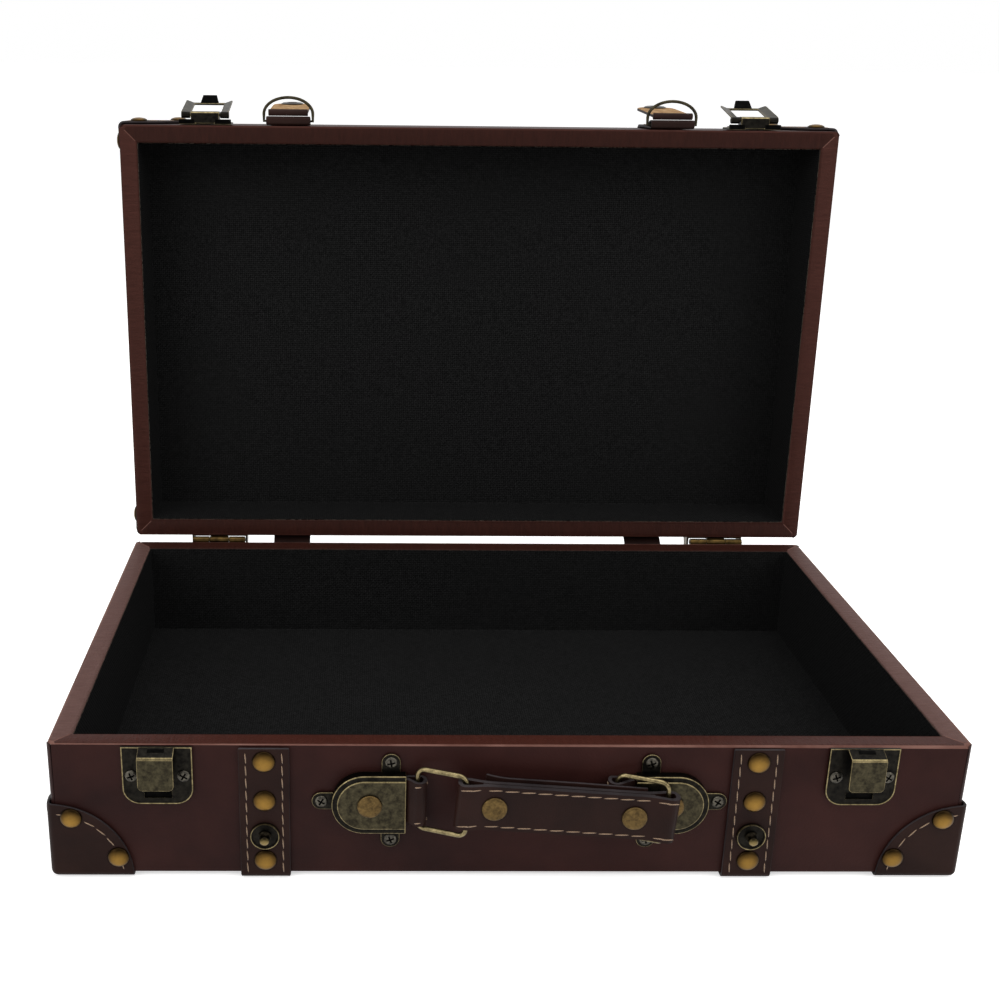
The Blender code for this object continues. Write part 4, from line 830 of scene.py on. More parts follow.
def strapPieces(where, sign):
    at = moveBy(sign * strapX, 0, 0)
    outFront, outBack = front - strapFace, back + strapFace
    inset, ends = strap["seamInset"], strap["seamEnds"]
    backEnd, below = rim - strap["backDrop"], underside - strapFace
    strapLoop(f"base_strap_{where}", (rim - strap["topDrop"], backEnd), underside, -1, "base", at)
    strapSeams(f"base_strap_{where}_seams",
               (((outFront, rim - ends["rim"]), (outFront, underside + ends["floor"]), (-1, 0)),
                ((front + inset, below), (back - inset, below), (0, -1)),
                ((outBack, underside + ends["floor"]), (outBack, backEnd - ends["back"]), (1, 0))),
               "base", at)
    frontEnd, backEnd, above = lidRim + strap["lidFoot"], lidRim + strap["lidBack"], lidTop + strapFace
    strapLoop(f"lid_strap_{where}", (frontEnd, backEnd), lidTop, 1, "lid", lidOpen @ at)
    strapSeams(f"lid_strap_{where}_seams",
               (((outFront, frontEnd + ends["lidFoot"]), (outFront, lidTop - ends["lidTop"]), (-1, 0)),
                ((front + inset, above), (back - inset, above), (0, 1)),
                ((outBack, lidTop - ends["lidTop"]), (outBack, backEnd + ends["back"]), (1, 0))),
               "lid", lidOpen @ at)
    nails = [moved(nailShape(strap["nailRadius"], strap["nailRise"]),
                   moveBy(sign * strapX, outFront, rim - drop) @ standUp) for drop in strap["nailDrops"]]
    finishPiece(f"base_strap_{where}_nails", paintShadeOnDomes(joined(*nails), noTurn), [nailBrass], "base",
                angle=40)


def strapBridge(where, sign):
    # The stretch behind the hinge line, drawn as a quarter curve at rest and attached to neither tray
    low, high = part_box(f"strap_bridge_{where}")
    thin, steps = strap["leather"] / 2, strap["bridgeSteps"]
    depth, height = high.y - low.y - thin, high.z - low.z - thin
    angles = [math.pi / 2 * i / steps for i in range(steps + 1)]
    points = [(low.y + thin + depth * (1 - math.cos(angle)), low.z + height * math.sin(angle), 0)
              for angle in angles]
    across = ("base", "lid", (0, *points[0][:2]), (0, *points[-1][:2]))
    finishPiece(f"strap_bridge_{where}_leather", moved(bandSurface(points, strap["width"]), alongDepth),
                [trimLeather, edgePaint], across, moveBy(sign * strapX, 0, 0), (f"strap_bridge_{where}",),
                thick=strap["leather"] * strap["bridgeThin"], bevel=0.0004)


stud = {"flange": 0.0061, "rise": 0.0013, "rim": 0.0005, "dish": 0.0004, "collar": 0.0026,
        "collarTop": 0.0011, "neck": 0.0015, "head": 0.0020, "top": 0.0050}


def studPieces(where, sign):
    place = moveBy(sign * strapX, front - strapFace - strap["gap"], rim - strap["studDrop"]) @ standUp
    outer, inner, dish = stud["flange"], stud["flange"] - stud["rim"], stud["dish"]
    rise, top, head, collar = stud["rise"], stud["top"], stud["head"], stud["collar"]
    disc = turnedShape(((0, 0), (outer, 0), (outer, rise * 0.6), (outer - stud["rim"] * 0.4, rise),
                        (inner, rise * 0.9), (inner - stud["rim"], dish), (collar, dish), (0, dish)), 36)
    slotFaces(disc, lambda middle, normal: 1 if middle.z > rise * 0.7 else 0)
    finishPiece(f"snap_stud_{where}_disc", disc, [bronzeDark, bronzeRubbed], "base", place,
                (f"snap_stud_{where}",), angle=40)
    neckLow, neckHigh = stud["collarTop"] + 0.0004, top - 0.0014
    post = turnedShape(((0, dish), (collar, dish), (collar, stud["collarTop"]),
                        (stud["neck"] + 0.0004, neckLow), (stud["neck"], neckHigh), (head, neckHigh + 0.0005),
                        (head * 0.9, top - 0.0004), (head * 0.5, top), (0, top)), 28)
    addDomeMap(post, dish, top - dish)
    finishPiece(f"snap_stud_{where}_post", paintShadeOnDomes(post, place), [studBrass], "base", place)


for where, sign in leftRight:
    strapPieces(where, sign)
print("straps dressed")
for where, sign in leftRight:
    strapBridge(where, sign)
print("strap bridges dressed")
for where, sign in leftRight:
    studPieces(where, sign)
print("snap studs dressed")


# Latches

latch = {"x": 0.143, "sheet": 0.0010, "gap": 0.0003, "round": 0.0070, "border": 0.00045, "pressed": 0.0003,
         "screwSunk": 0.0003}
keeper = {"half": 0.01425, "top": 0.0004, "low": 0.0264, "screwX": 0.0106, "screwDrop": 0.0135,
          "slotHalf": 0.0056, "slotLow": -0.0238, "slotHigh": -0.0206, "hollowMore": 0.0004}
tongue = {"half": 0.00725, "out": 0.0062, "top": 0.0030, "low": 0.0172, "sheet": 0.0009, "root": 0.0007,
          "rootDrop": 0.0004, "bend": 0.0005, "bendLow": 0.0008, "flare": 0.0003, "corner": 0.0022,
          "ledge": 0.0015, "holeHalf": 0.0034, "holeDeep": 0.0008, "holeOut": 0.45, "holeDown": 0.42,
          "holeLift": 0.0004}
lidPlate = {"half": 0.0135, "low": 0.0008, "high": 0.0200, "screwX": 0.0098, "screwUp": 0.0105,
            "footGap": 0.0048, "footRise": 0.0030, "footLow": 0.0006, "footTop": 0.0019, "footOut": 0.0029,
            "blockHalf": 0.0073, "blockLow": 0.0010, "blockHigh": 0.0072, "blockOut": 0.0068,
            "blockRound": 0.0016}
hasp = {"half": 0.0123, "window": 0.0078, "reach": 0.0245, "bar": 0.0020, "corner": 0.0014, "slope": 0.38,
        "foldOut": 0.0006, "ear": 0.0017, "catchRoot": 0.0050, "catchTip": 0.00365, "catchLength": 0.0052,
        "catchTurn": 44}
plateTop = latch["gap"] + latch["sheet"]


def pressedPlate(low, high, cornerRadii):
    # The plate's face is pressed down a little inside a raised border, which is rubbed to brass
    plate = roundedPlate((*low, latch["gap"]), (*high, plateTop), cornerRadii)
    plate.normal_update()
    face = faceAt(plate, 2, plateTop)
    border = bmesh.ops.inset_region(plate, faces=[face], thickness=latch["border"], use_even_offset=True)
    for item in border["faces"]:
        item.material_index = 1
    bmesh.ops.inset_region(plate, faces=[face], thickness=latch["pressed"], depth=-latch["pressed"],
                           use_even_offset=True)
    return plate


def keeperPieces(where, x):
    place = onBase(x)
    low, slotHalf = (-keeper["half"], -keeper["low"]), keeper["slotHalf"]
    plate = pressedPlate(low, (keeper["half"], -keeper["top"]), (0, 0, latch["round"], latch["round"]))
    slot = slab((-slotHalf, keeper["slotLow"], 0), (slotHalf, keeper["slotHigh"], plateTop * 2))
    finishPiece(f"keeper_{where}_plate", carved(plate, slot), [bronzeDark, bronzeRubbed], "base", place,
                (f"latch_keeper_{where}",), rub=0.00018, angle=60)
    tonguePiece(where, place)
    # Painted shade: near-black sheets behind the slot and in the tongue's ledge stand for the dark seen
    # through them
    out, drop = tongue["out"], tongue["top"] - keeper["top"]
    half, deep, more = tongue["holeHalf"], tongue["holeDeep"], keeper["hollowMore"]
    rise = tongue["holeLift"] - keeper["top"] - drop * tongue["holeDown"]
    spot = moveBy(0, rise, out * tongue["holeOut"]) @ Matrix.Rotation(math.atan2(drop, out), 4, "X")
    ledgeShadeSheet = moved(slab((-half, -0.0001, -deep), (half, 0.0001, deep)), spot)
    hollow = slab((-slotHalf - more, keeper["slotLow"] - more, 0.0001),
                  (slotHalf + more, keeper["slotHigh"] + more, latch["gap"] + 0.0002))
    finishPiece(f"keeper_{where}_painted_shade_sheets", joined(ledgeShadeSheet, hollow), [blackMetalAndPaintedShade], "base", place,
                angle=40)
    spots = [(sideX * keeper["screwX"], -keeper["screwDrop"]) for sideX in (-1, 1)]
    addScrews(f"keeper_{where}_screws", spots, plateTop - latch["screwSunk"], "base", place)


def tonguePiece(where, place):
    # Drawn as (out, rise): a ledge that leaves the plate's top, and a tongue that hangs from it
    out, low = tongue["out"], tongue["low"]
    path = [(tongue["root"], -keeper["top"] - tongue["rootDrop"], 0), (out, -tongue["top"], tongue["bend"]),
            (out + tongue["flare"], -low, 0)]
    swapAxes = Matrix(((0, 1, 0, 0), (0, 0, 1, 0), (1, 0, 0, 0), (0, 0, 0, 1)))
    band = moved(bandSurface(path, tongue["half"] * 2), swapAxes)

    def slotOf(middle, normal):
        if middle.z < out - tongue["ledge"]:
            return 2
        return 1 if middle.y > -tongue["top"] - tongue["bendLow"] else 0

    slotFaces(band, slotOf)
    roundCorners(band, [vert for vert in band.verts if vert.co.y < -low + 0.0001], tongue["corner"], 5)
    finishPiece(f"keeper_{where}_tongue", band, [bronze, bronzeRubbed, bronzeDark], "base", place,
                thick=tongue["sheet"], rub=0.00022)


def lidPlatePieces(where, x):
    place = onLid(x)
    half, footGap, footRise = lidPlate["half"], lidPlate["footGap"], lidPlate["footRise"]
    plate = pressedPlate((-half, lidPlate["low"]), (half, lidPlate["high"]),
                         (latch["round"], latch["round"], 0, 0))
    plate = carved(plate, slab((-footGap, 0, 0), (footGap, footRise, plateTop * 2)))
    finishPiece(f"latch_plate_{where}_sheet", plate, [bronzeDark, bronzeRubbed], "lid", place,
                (f"latch_plate_{where}",), rub=0.00018, angle=60)
    block = slab((-lidPlate["blockHalf"], lidPlate["blockLow"], latch["gap"] + 0.0005),
                 (lidPlate["blockHalf"], lidPlate["blockHigh"], lidPlate["blockOut"]))
    roundOuter(block, lidPlate["blockRound"], 6)
    slotFaces(block, lambda middle, normal: 1 if 0.6 < normal.z < 0.98 else 0)
    finishPiece(f"latch_plate_{where}_block", block, [bronzeDark, bronzeRubbed], "lid", place, rub=0.0002)
    spots = [(sideX * lidPlate["screwX"], lidPlate["screwUp"]) for sideX in (-1, 1)]
    addScrews(f"latch_plate_{where}_screws", spots, plateTop - latch["screwSunk"], "lid", place)
    feet = []
    for sideX in (-1, 1):
        near, far = sorted((sideX * (footGap + 0.0004), sideX * half))
        foot = slab((near, lidPlate["footLow"], latch["gap"] + 0.0002),
                    (far, lidPlate["footTop"], lidPlate["footOut"]))
        feet.append(roundOuter(foot, 0.0005, 4))
    finishPiece(f"latch_plate_{where}_feet", joined(*feet), [blackMetalAndPaintedShade, bronzeDark], "lid", place,
                rub=0.00018)


def roundOuter(bm, radius, steps):
    # Rounds the two long edges of a bar's outer face
    outer = [edge for edge in edgesAlong(bm, 0) if edge.verts[0].co.z > latch["sheet"]]
    roundEdges(bm, outer, radius, steps)
    return bm


def haspPieces(where):
    place = thrownBack(f"hasp_swing_{where}")
    body, half, thin = f"hasp_{where}", hasp["half"], latch["sheet"] / 2
    window, reach, corner = hasp["window"], hasp["reach"], hasp["corner"]
    plate = roundedPlate((-half, -reach, -thin), (half, 0, thin), (0, 0, corner, corner), 5)
    plate = carved(plate, slab((-window, -reach + hasp["bar"], -thin * 2), (window, 0.001, thin * 2)))
    # The two sides are bent back a little along a fold line beside the window
    fold = window + hasp["foldOut"]
    for sideX in (-1, 1):
        splitAt(plate, (sideX * fold, 0, 0), (1, 0, 0))
    for vert in plate.verts:
        vert.co.z -= max(0.0, abs(vert.co.x) - fold) * hasp["slope"]
    finishPiece(f"hasp_{where}_frame", plate, [bronze, bronzeRubbed], body, place, (f"latch_hasp_{where}",),
                rub=0.00022)
    ears = [moved(rod(hasp["ear"], *sorted((sideX * window, sideX * half)), 24), turnBy(90, "Y"))
            for sideX in (-1, 1)]
    finishPiece(f"hasp_{where}_ears", joined(*ears), [bronzeDark, bronze], body, place, rub=0.0002)
    root, length = hasp["catchRoot"], hasp["catchLength"]
    tip = slab((-root, -length, -thin), (root, 0, thin))
    for vert in tip.verts:
        if vert.co.y < -length / 2:
            vert.co.x *= hasp["catchTip"] / root
    bend = moveBy(0, -reach + hasp["bar"] / 2, 0) @ turnBy(hasp["catchTurn"], "X")
    finishPiece(f"hasp_{where}_catch", moved(tip, bend), [blackMetalAndPaintedShade, bronzeDark], body, place, rub=0.0002)


for where, sign in leftRight:
    keeperPieces(where, sign * latch["x"])
    lidPlatePieces(where, sign * latch["x"])
    haspPieces(where)
print("latches dressed")


# Handle: end caps, tabs, rings and strap

cap = {"drop": 0.0250, "length": 0.0303, "height": 0.0266, "bottom": 0.0003, "skirt": 0.0045, "top": 0.0050,
       "groove": 0.0022, "hollowReach": 0.0190, "hollowTop": 0.0037, "mouth": 0.0119, "rivetIn": 0.0148,
       "rivetRadius": 0.0051, "lugWidth": 0.0077, "lugIn": 0.0062, "lugUp": 0.0178, "lugOut": 0.0345,
       "lugTop": 0.0012, "screwSunk": 0.0001, "plateauSunk": 0.0005, "rivetLift": 0.0002}
capX = {"left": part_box("handle_cap_left")[1].x, "right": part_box("handle_cap_right")[0].x}


def dPlate(bottom, top, inset=0.0):
    # Half a disc joined to a square end, straight side at x = 0
    reach = cap["length"] - cap["height"] / 2
    bm = bmesh.new()
    bmesh.ops.create_circle(bm, cap_ends=True, segments=64, radius=cap["height"] / 2 - inset)
    splitAt(bm, (0, 0, 0), (1, 0, 0), clear=True)
    moved(bm, moveBy(reach, 0, bottom))
    straight = [edge for edge in bm.edges if all(abs(vert.co.x - reach) < 0.00001 for vert in edge.verts)]
    pulled(bm, bmesh.ops.extrude_edge_only(bm, edges=straight), (-reach, 0, 0))
    bmesh.ops.dissolve_faces(bm, faces=bm.faces[:])
    grown = bmesh.ops.extrude_face_region(bm, geom=bm.faces[:], use_keep_orig=True)
    pulled(bm, grown, (0, 0, top - bottom))
    bmesh.ops.recalc_face_normals(bm, faces=bm.faces[:])
    return bm


def capPieces(where, sign):
    place = onBase(capX[where], cap["drop"])
    if sign < 0:
        place = place @ turnBy(180, "Z")
    hollow = slab((-0.001, -cap["mouth"], -0.001), (cap["hollowReach"], cap["mouth"], cap["hollowTop"]))
    shell = carved(dPlate(cap["bottom"], cap["skirt"]), hollow)
    finishPiece(f"cap_{where}_shell", shell, [bronzeDark, bronzeRubbed], "base", place,
                (f"handle_cap_{where}",), rub=0.0004, segments=3)
    plateau = dPlate(cap["skirt"] - cap["plateauSunk"], cap["top"], cap["groove"])
    finishPiece(f"cap_{where}_plateau", plateau, [bronze, bronzeRubbed], "base", place, rub=0.00045,
                segments=3)
    spots = ((cap["lugIn"], cap["lugUp"], 90), (cap["lugOut"], 0, 0), (cap["lugIn"], -cap["lugUp"], -90))
    half = cap["lugWidth"] / 2
    lugs = []
    for x, y, angle in spots:
        lug = roundedPlate((-cap["lugWidth"], -half, cap["bottom"]), (half, half, cap["lugTop"]),
                           (half * 0.99, 0, 0, half * 0.99), 10)
        lugs.append(moved(lug, moveBy(x, y, 0) @ turnBy(angle, "Z")))
    finishPiece(f"cap_{where}_lugs", joined(*lugs), [bronzeDark, bronzeRubbed], "base", place, rub=0.0002)
    addScrews(f"cap_{where}_screws", [spot[:2] for spot in spots], cap["lugTop"] - cap["screwSunk"], "base",
              place)
    finishPiece(f"cap_{where}_rivet", rivetHead(cap["rivetRadius"]), [rivetBrass], "base",
                place @ moveBy(cap["rivetIn"], 0, cap["top"] + cap["rivetLift"]), (f"cap_rivet_{where}",))


tab = {"width": 0.0198, "drop": 0.0232, "leather": 0.0014, "tail": 0.0180, "low": 0.0012, "high": 0.0028,
       "eye": 0.0027, "out": 0.0040, "slack": 0.0004, "seam": 0.0016, "topStitch": 0.0028,
       "endStitch": 0.0024, "bars": {"left": 0.0045, "right": 0.0077}}


def tabPieces(where, sign):
    bar, eye, out = tab["bars"][where] + tab["slack"], tab["eye"], tab["out"]
    points = [(-tab["tail"], tab["low"], 0), (0.0, tab["low"], 0.0008), (bar, out - eye, 0.0012),
              (bar + eye, out - eye, eye * 0.97), (bar + eye, out + eye, eye * 0.97),
              (bar - 0.0006, out + eye, 0.0016), (0.0002, tab["high"], 0.0006),
              (-tab["tail"], tab["high"], 0)]
    band = bandSurface(points, tab["width"])
    place = moveBy(capX[where], front, rim - tab["drop"]) @ Matrix.Diagonal((-sign, 1, 1, 1)) @ standUp
    finishPiece(f"tab_{where}_leather", band, [handleLeather, edgePaint], "base", place,
                (f"handle_tab_{where}",), thick=tab["leather"], bevel=0.0004)
    thread = bmesh.new()
    outward, upward = Vector((1, 0, 0)), Vector((0, 0, 1))
    for sideY in (-1, 1):
        y = sideY * (tab["width"] / 2 - tab["seam"])
        onTop = Vector((bar - 0.0004, y, out + eye + tab["leather"] / 2))
        onEnd = Vector((bar + eye + tab["leather"] / 2, y, out - 0.0004))
        addStitch(thread, onTop, outward, upward, tab["topStitch"])
        addStitch(thread, onEnd, upward, outward, tab["endStitch"])
    finishPiece(f"tab_{where}_stitches", thread, [waxedThread], "base", place, angle=80)


ring = {"wire": 0.0010, "reach": 0.0204, "height": 0.0272, "corner": 0.0033}


def ringPiece(where):
    reach, half, corner = ring["reach"], ring["height"] / 2, ring["corner"]
    centres = ((reach - corner, half - corner), (corner, half - corner), (corner, corner - half),
               (reach - corner, corner - half))
    path = []
    for index, centre in enumerate(centres):
        path += arcPoints(centre, corner, 90 * index, 90 * index + 90, 8)
    wire = wireShape([(x, 0, z) for x, z in path], ring["wire"])
    low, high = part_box(f"handle_ring_{where}")
    flare = math.atan2(high.y - low.y - 2 * ring["wire"], high.x - low.x - 2 * ring["wire"])
    place = Matrix.Translation(joints[f"ring_swing_{where}"]["pos_m"]) @ Matrix.Rotation(-flare, 4, "Z")
    finishPiece(f"ring_{where}_wire", wire, [bronzeRubbed], f"ring_{where}", place, (f"handle_ring_{where}",),
                angle=40)


grip = {"width": 0.0198, "leather": 0.0018, "eye": 0.0027, "tail": 0.0070, "body": 0.0012, "seam": 0.0017,
        "coarse": 1.2, "rivetLeft": 0.0112, "rivetRight": 0.0134, "rivetRadius": 0.0052, "burr": 0.0037,
        "burrRise": 0.0007, "droop": 0.0059, "eyeFlat": 0.0006, "liner": 0.0012, "linerLift": 0.0012,
        "linerFree": 0.0075, "linerCurl": 0.0056, "linerBend": 0.0130, "linerFar": 0.0034,
        "linerNear": 0.0029, "linerSewn": 0.0085, "linerRound": 0.0040, "bodyBend": 0.0030,
        "eyeBend": 0.0022, "coreIn": 0.0002, "coreReach": 0.0010, "coreHalf": 0.0004, "seamEnd": 0.0005,
        "slopeStitch": 0.0026, "slopeFall": 0.36, "eyeStitch": 0.0008}
gripStart = Vector(joints["handle_swing"]["pos_m"])
gripSpan = joints["ring_swing_right"]["pos_m"][0] - joints["ring_swing_left"]["pos_m"][0]
gripLength = math.hypot(gripSpan, grip["droop"])
gripPlace = (Matrix.Translation(gripStart) @ standUp
             @ Matrix.Rotation(-math.atan2(grip["droop"], gripSpan), 4, "Z"))


def gripLeathers():
    eye, tail, body, flat = grip["eye"], grip["tail"], grip["body"], grip["eyeFlat"]
    bodyBend, eyeBend = grip["bodyBend"], grip["eyeBend"]
    left = [(tail, body, bodyBend), (flat, eye, eyeBend), (-flat - eye, eye, eye * 0.95),
            (-flat - eye, -eye, eye * 0.95), (flat, -eye, eyeBend), (tail, -body, bodyBend)]
    right = [(gripLength - x, -z, bend) for x, z, bend in left]
    band = bandSurface(left + right, grip["width"], closed=True)
    finishPiece("handle_strap_leather", band, [handleLeather, edgePaint], "handle", gripPlace,
                ("handle_strap",), thick=grip["leather"], bevel=0.0004)
    # The inner strap is sewn in at the right end and curls away a little at its free left end
    near, far, bend = -grip["linerNear"], -grip["linerFar"], grip["linerRound"]
    points = [(grip["linerFree"], -grip["linerCurl"], 0), (grip["linerBend"], far, bend),
              (gripLength * 0.6, far, bend), (gripLength - 2 * grip["linerSewn"], near, bend),
              (gripLength - grip["linerSewn"], near, 0)]
    liner = moved(bandSurface(points, grip["width"]), moveBy(0, grip["linerLift"], 0))
    finishPiece("handle_strap_liner", liner, [handleLeather, edgePaint], "handle", gripPlace,
                thick=grip["liner"], bevel=0.0004)
    halfWidth, start, thin = grip["width"] / 2 - grip["coreIn"], tail - grip["coreReach"], grip["coreHalf"]
    core = slab((start, -halfWidth, -thin), (gripLength - start, halfWidth, thin))
    finishPiece("handle_strap_core", core, [edgePaint], "handle", gripPlace, angle=40)


def gripSeams():
    # Two runs on each face, then a stitch on the slope to each eye and one on the eye
    eye, tail, body, half = grip["eye"], grip["tail"], grip["body"], grip["leather"] / 2
    first, onSlope = tail + grip["seamEnd"], grip["slopeStitch"]
    thread = bmesh.new()
    for face in (-1, 1):
        out = Vector((0, 0, face))
        for sideY in (-1, 1):
            y = sideY * (grip["width"] / 2 - grip["seam"])
            z = face * (body + half)
            stitchLine(thread, (first, y, z), (gripLength - first, y, z), out, grip["coarse"])
            for x, fall in ((onSlope, body - eye), (gripLength - onSlope, eye - body)):
                along = Vector((tail, 0, fall)).normalized()
                along.z *= face
                middle = Vector((x, y, face * (eye + half + (body - eye) * grip["slopeFall"])))
                addStitch(thread, middle, along, Vector((-along.z, 0, along.x)) * face)
            for x in (-grip["eyeStitch"], gripLength + grip["eyeStitch"]):
                addStitch(thread, Vector((x, y, face * (eye + half - 0.0001))), Vector((1, 0, 0)), out)
    finishPiece("handle_strap_seams", thread, [waxedThread], "handle", gripPlace, angle=80)


def gripRivets():
    height = grip["body"] + grip["leather"] / 2 + 0.0001
    for where, x in (("left", grip["rivetLeft"]), ("right", gripLength - grip["rivetRight"])):
        head = moved(rivetHead(grip["rivetRadius"]), moveBy(0, 0, height))
        burr = moved(rivetHead(grip["burr"], grip["burrRise"]), moveBy(0, 0, -height) @ turnBy(180, "X"))
        finishPiece(f"handle_rivet_{where}_heads", joined(head, burr), [rivetBrass], "handle",
                    gripPlace @ moveBy(x, 0, 0), (f"handle_rivet_{where}",))


for where, sign in leftRight:
    capPieces(where, sign)
    tabPieces(where, sign)
    ringPiece(where)
gripLeathers()
gripSeams()
gripRivets()
print("handle dressed")


# Buckled strap ends on the lid

chape = {"width": 0.0228, "near": 0.0008, "far": 0.0105, "gap": 0.0003, "rise": 0.0044, "leather": 0.0010,
         "slope": 0.0042}
hoop = {"wire": 0.0008, "width": 0.0254, "reach": 0.0118, "leg": 0.0036, "sweep": 0.0003, "steps": 24}
flap = {"width": 0.0205, "length": 0.0506, "leather": 0.0015, "root": 0.0017, "seam": 0.0019,
        "seamTop": 0.0030, "snap": 0.0443, "ring": 0.0060, "barrel": 0.0033, "bore": 0.0024,
        "capRadius": 0.0063, "capRise": 0.0013}


def chapePiece(where, sign):
    # Drawn as (rise, out): lies on the wall, folds over the hoop's bar and comes back
    half = chape["leather"] / 2
    low, high = chape["gap"] + half, chape["gap"] + chape["rise"] - half
    near, far = chape["near"] + half, chape["far"]
    points = [(far, low, 0), (near, low, 0.0011), (near, high, 0.0011), (far - chape["slope"], high, 0.002),
              (far, low + chape["leather"] * 1.05, 0)]
    band = moved(bandSurface(points, chape["width"]), turnBy(90, "Z"))
    finishPiece(f"chape_{where}_leather", band, [trimLeather, edgePaint], "lid", onLid(sign * strapX),
                (f"strap_chape_{where}",), thick=chape["leather"], bevel=0.0004)


def hoopPiece(where):
    # A straight bar and an arch over it, bent a little outwards
    half, steps = hoop["width"] / 2, hoop["steps"]
    path = [(-half, 0, 0), (half, 0, 0)]
    for angle in [math.pi * i / steps for i in range(steps + 1)]:
        rise = math.sin(angle)
        height = hoop["leg"] + (hoop["reach"] - hoop["leg"]) * rise
        path.append((half * math.cos(angle), hoop["sweep"] * rise, height))
    finishPiece(f"hoop_{where}_wire", wireShape(path, hoop["wire"]), [bronze], f"hoop_{where}",
                atJoint(f"hoop_tilt_{where}"), (f"strap_hoop_{where}",), angle=40)


def flapPieces(where):
    place = thrownBack(f"flap_swing_{where}")
    body, half, thin, tip = f"flap_{where}", flap["width"] / 2, flap["leather"] / 2, -flap["length"]
    leather = roundedPlate((-half, tip, -thin), (half, 0, thin), (0, 0, half * 0.98, half * 0.98), 14)
    toSnap = moveBy(0, -flap["snap"], 0)
    leather = carved(leather, moved(rod(flap["barrel"] + 0.0001, -thin * 2, thin * 2, 32), toSnap))
    slotFaces(leather, lambda middle, normal: 0 if normal.z > 0.9 else 1 if normal.z < -0.9 else 2)
    finishPiece(f"flap_{where}_leather", leather, [trimLeather, tanSuede, edgePaint], body, place,
                (f"strap_flap_{where}",), bevel=0.0004)
    roll = moved(rod(flap["root"], -half, half, 24), turnBy(90, "Y"))
    finishPiece(f"flap_{where}_fold", roll, [trimLeather], body, place, bevel=0.0003)
    thread, run = bmesh.new(), bmesh.new()
    edge = half - flap["seam"]
    for x in (-edge, edge):
        stitchLine(thread, (x, -flap["seamTop"], thin), (x, tip + half, thin), (0, 0, 1))
    stitchArc(run, edge, 184, 356, thin)
    thread = joined(thread, moved(run, moveBy(0, tip + half, 0)))
    finishPiece(f"flap_{where}_seams", thread, [waxedThread], body, place, angle=80)
    finishPiece(f"flap_{where}_snap", snapShape(thin + 0.0001), [nailBrass], body, place @ toSnap,
                (f"snap_socket_{where}",))


def snapShape(over):
    # The snap's upper half: a ring below the leather, a barrel through it and a domed cap on top
    under, bore, ringOut, capOut = -over, flap["bore"], flap["ring"], flap["capRadius"]
    top = over + flap["capRise"]
    socket = turnedShape(((bore, under - 0.0003), (bore + 0.0004, under - 0.0008),
                          (ringOut - 0.0010, under - 0.0008), (ringOut, under - 0.0003), (ringOut, under),
                          (flap["barrel"], under), (flap["barrel"], over), (capOut, over),
                          (capOut, over + 0.0003), (capOut * 0.9, over + 0.0008),
                          (capOut * 0.5, top - 0.0001), (0, top), (0, over - 0.0003),
                          (bore, over - 0.0003), (bore, under - 0.0003)), 32)
    addDomeMap(socket, over, flap["capRise"])
    return socket


for where, sign in leftRight:
    chapePiece(where, sign)
    hoopPiece(where)
    flapPieces(where)
print("strap ends dressed")


# Carried CAD nodes: boards inside the covers, hinges and pins

def dressCarried(material, *nodes):
    for node in nodes:
        frame["nodes"][node].data.materials.clear()
        frame["nodes"][node].data.materials.append(material)


dressCarried(poplarBoard, "base_wall_boards", "lid_wall_boards", "base_bottom_board", "lid_top_board")
for where, sign in leftRight:
    dressCarried(hingeBrass, f"base_hinge_leaf_{where}", f"lid_hinge_leaf_{where}", f"hinge_pin_{where}")
    dressCarried(bronze, f"hasp_pin_{where}")
print("carried nodes dressed")


# Floor, lamps and camera

studio = {"floor": 20.0, "floorDrop": 0.0002, "floorColour": "#f4f4f4", "world": 0.5, "lift": 0.55}


def whiteWhenSeen(tree, lift):
    # Camera, mirror and glass rays see white; other rays see the plain colour
    path = addNode(tree, "ShaderNodeLightPath")
    first = addNode(tree, "ShaderNodeMath", {"operation": "ADD"},
                    {0: path.outputs["Is Camera Ray"], 1: path.outputs["Is Glossy Ray"]})
    second = addNode(tree, "ShaderNodeMath", {"operation": "ADD", "use_clamp": True},
                     {0: first.outputs[0], 1: path.outputs["Is Transmission Ray"]})
    seen = addNode(tree, "ShaderNodeMath", {"operation": "MULTIPLY", 1: lift}, {0: second.outputs[0]})
    return seen.outputs[0]


def makeFloor():
    bm = bmesh.new()
    bmesh.ops.create_grid(bm, x_segments=1, y_segments=1, size=studio["floor"])
    mesh = bpy.data.meshes.new("floor")
    bm.to_mesh(mesh)
    bm.free()
    material, tree, shader = startMaterial("white studio floor", 0.0, 0.9)[:3]
    shader.inputs["Base Color"].default_value = toLinear(studio["floorColour"])
    shader.inputs["Emission Color"].default_value = (1, 1, 1, 1)
    tree.links.new(whiteWhenSeen(tree, studio["lift"]), shader.inputs["Emission Strength"])
    mesh.materials.append(material)
    floor = bpy.data.objects.new("floor", mesh)
    floor.location.z = -studio["floorDrop"]
    bpy.context.scene.collection.objects.link(floor)


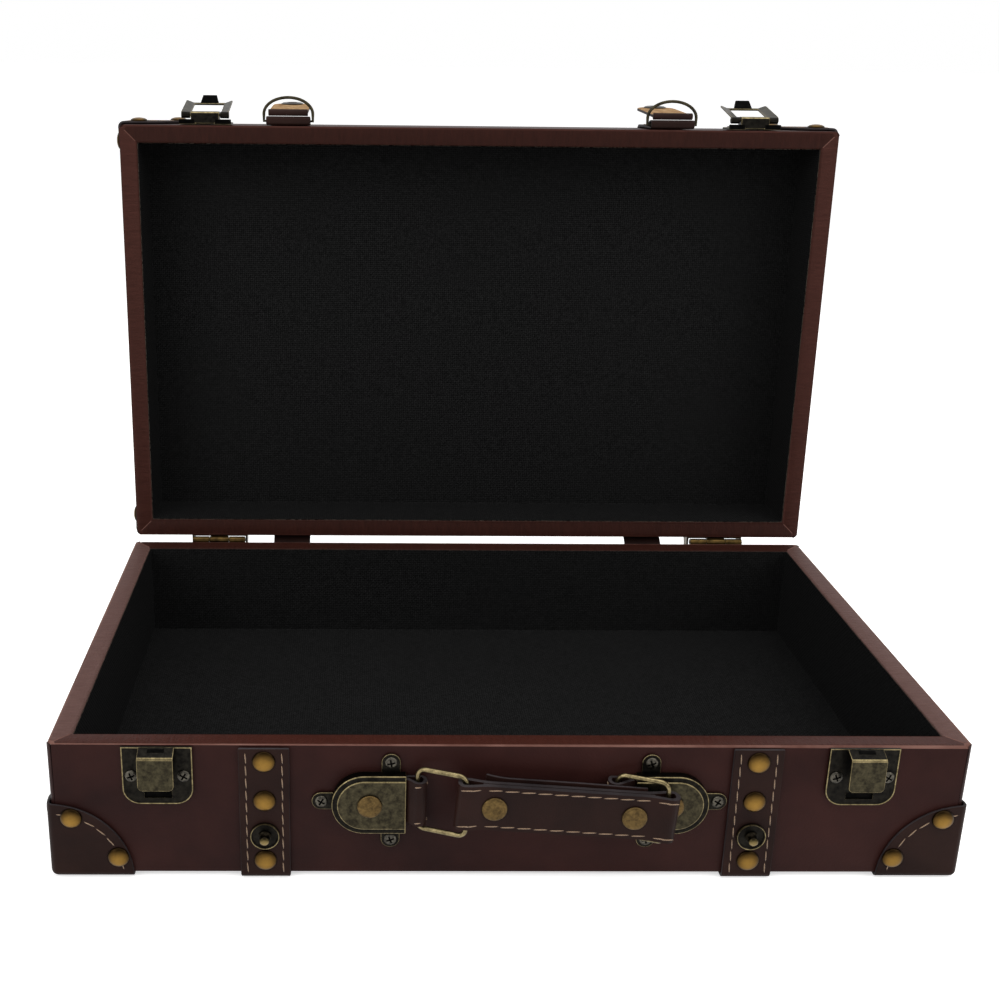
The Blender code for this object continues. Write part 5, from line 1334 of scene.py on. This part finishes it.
def makeWorld():
    world = bpy.data.worlds.new("studio")
    world.use_nodes = True
    tree = world.node_tree
    background = tree.nodes["Background"]
    background.inputs["Color"].default_value = (1, 1, 1, 1)
    extra = whiteWhenSeen(tree, 1 - studio["world"])
    total = addNode(tree, "ShaderNodeMath", {"operation": "ADD", 1: studio["world"]}, {0: extra})
    tree.links.new(total.outputs[0], background.inputs["Strength"])
    bpy.context.scene.world = world


lamps = {"top": {"at": (0.1, -0.1, 1.5), "size": 1.4, "power": 14},
         "left": {"at": (-1.1, -1.0, 0.9), "size": 1.0, "power": 9},
         "right": {"at": (1.2, -0.9, 1.0), "size": 1.0, "power": 9}}
lampAim = Vector((0, 0, 0.1))


def makeLamps():
    for name, lamp in lamps.items():
        data = bpy.data.lights.new(f"softbox_{name}", "AREA")
        data.size = lamp["size"]
        data.energy = lamp["power"]
        holder = bpy.data.objects.new(f"softbox_{name}", data)
        holder.location = lamp["at"]
        aim = lampAim - holder.location
        holder.rotation_euler = aim.to_track_quat("-Z", "Y").to_euler()
        bpy.context.scene.collection.objects.link(holder)


view = {"at": (-0.0628, front - 0.4611, 0.3293), "right": (0.99986, -0.01329, 0.01055),
        "up": (-0.00578, 0.31767, 0.94818), "lens": 46.77, "sensor": 36.0,
        "shiftX": 0.1214, "shiftY": -0.0213}


def makeCamera():
    data = bpy.data.cameras.new("camera")
    data.lens = view["lens"]
    data.sensor_width = view["sensor"]
    data.shift_x = view["shiftX"]
    data.shift_y = view["shiftY"]
    data.clip_start = 0.01
    right = Vector(view["right"]).normalized()
    up = Vector(view["up"])
    up = (up - right * up.dot(right)).normalized()
    turn = Matrix((right, up, right.cross(up))).transposed().to_4x4()
    camera = bpy.data.objects.new("camera", data)
    camera.matrix_world = Matrix.Translation(view["at"]) @ turn
    bpy.context.scene.collection.objects.link(camera)
    bpy.context.scene.camera = camera


makeFloor()
makeWorld()
makeLamps()
makeCamera()
bpy.context.scene.view_settings.view_transform = "Standard"
screwPattern.free()
print("studio ready")
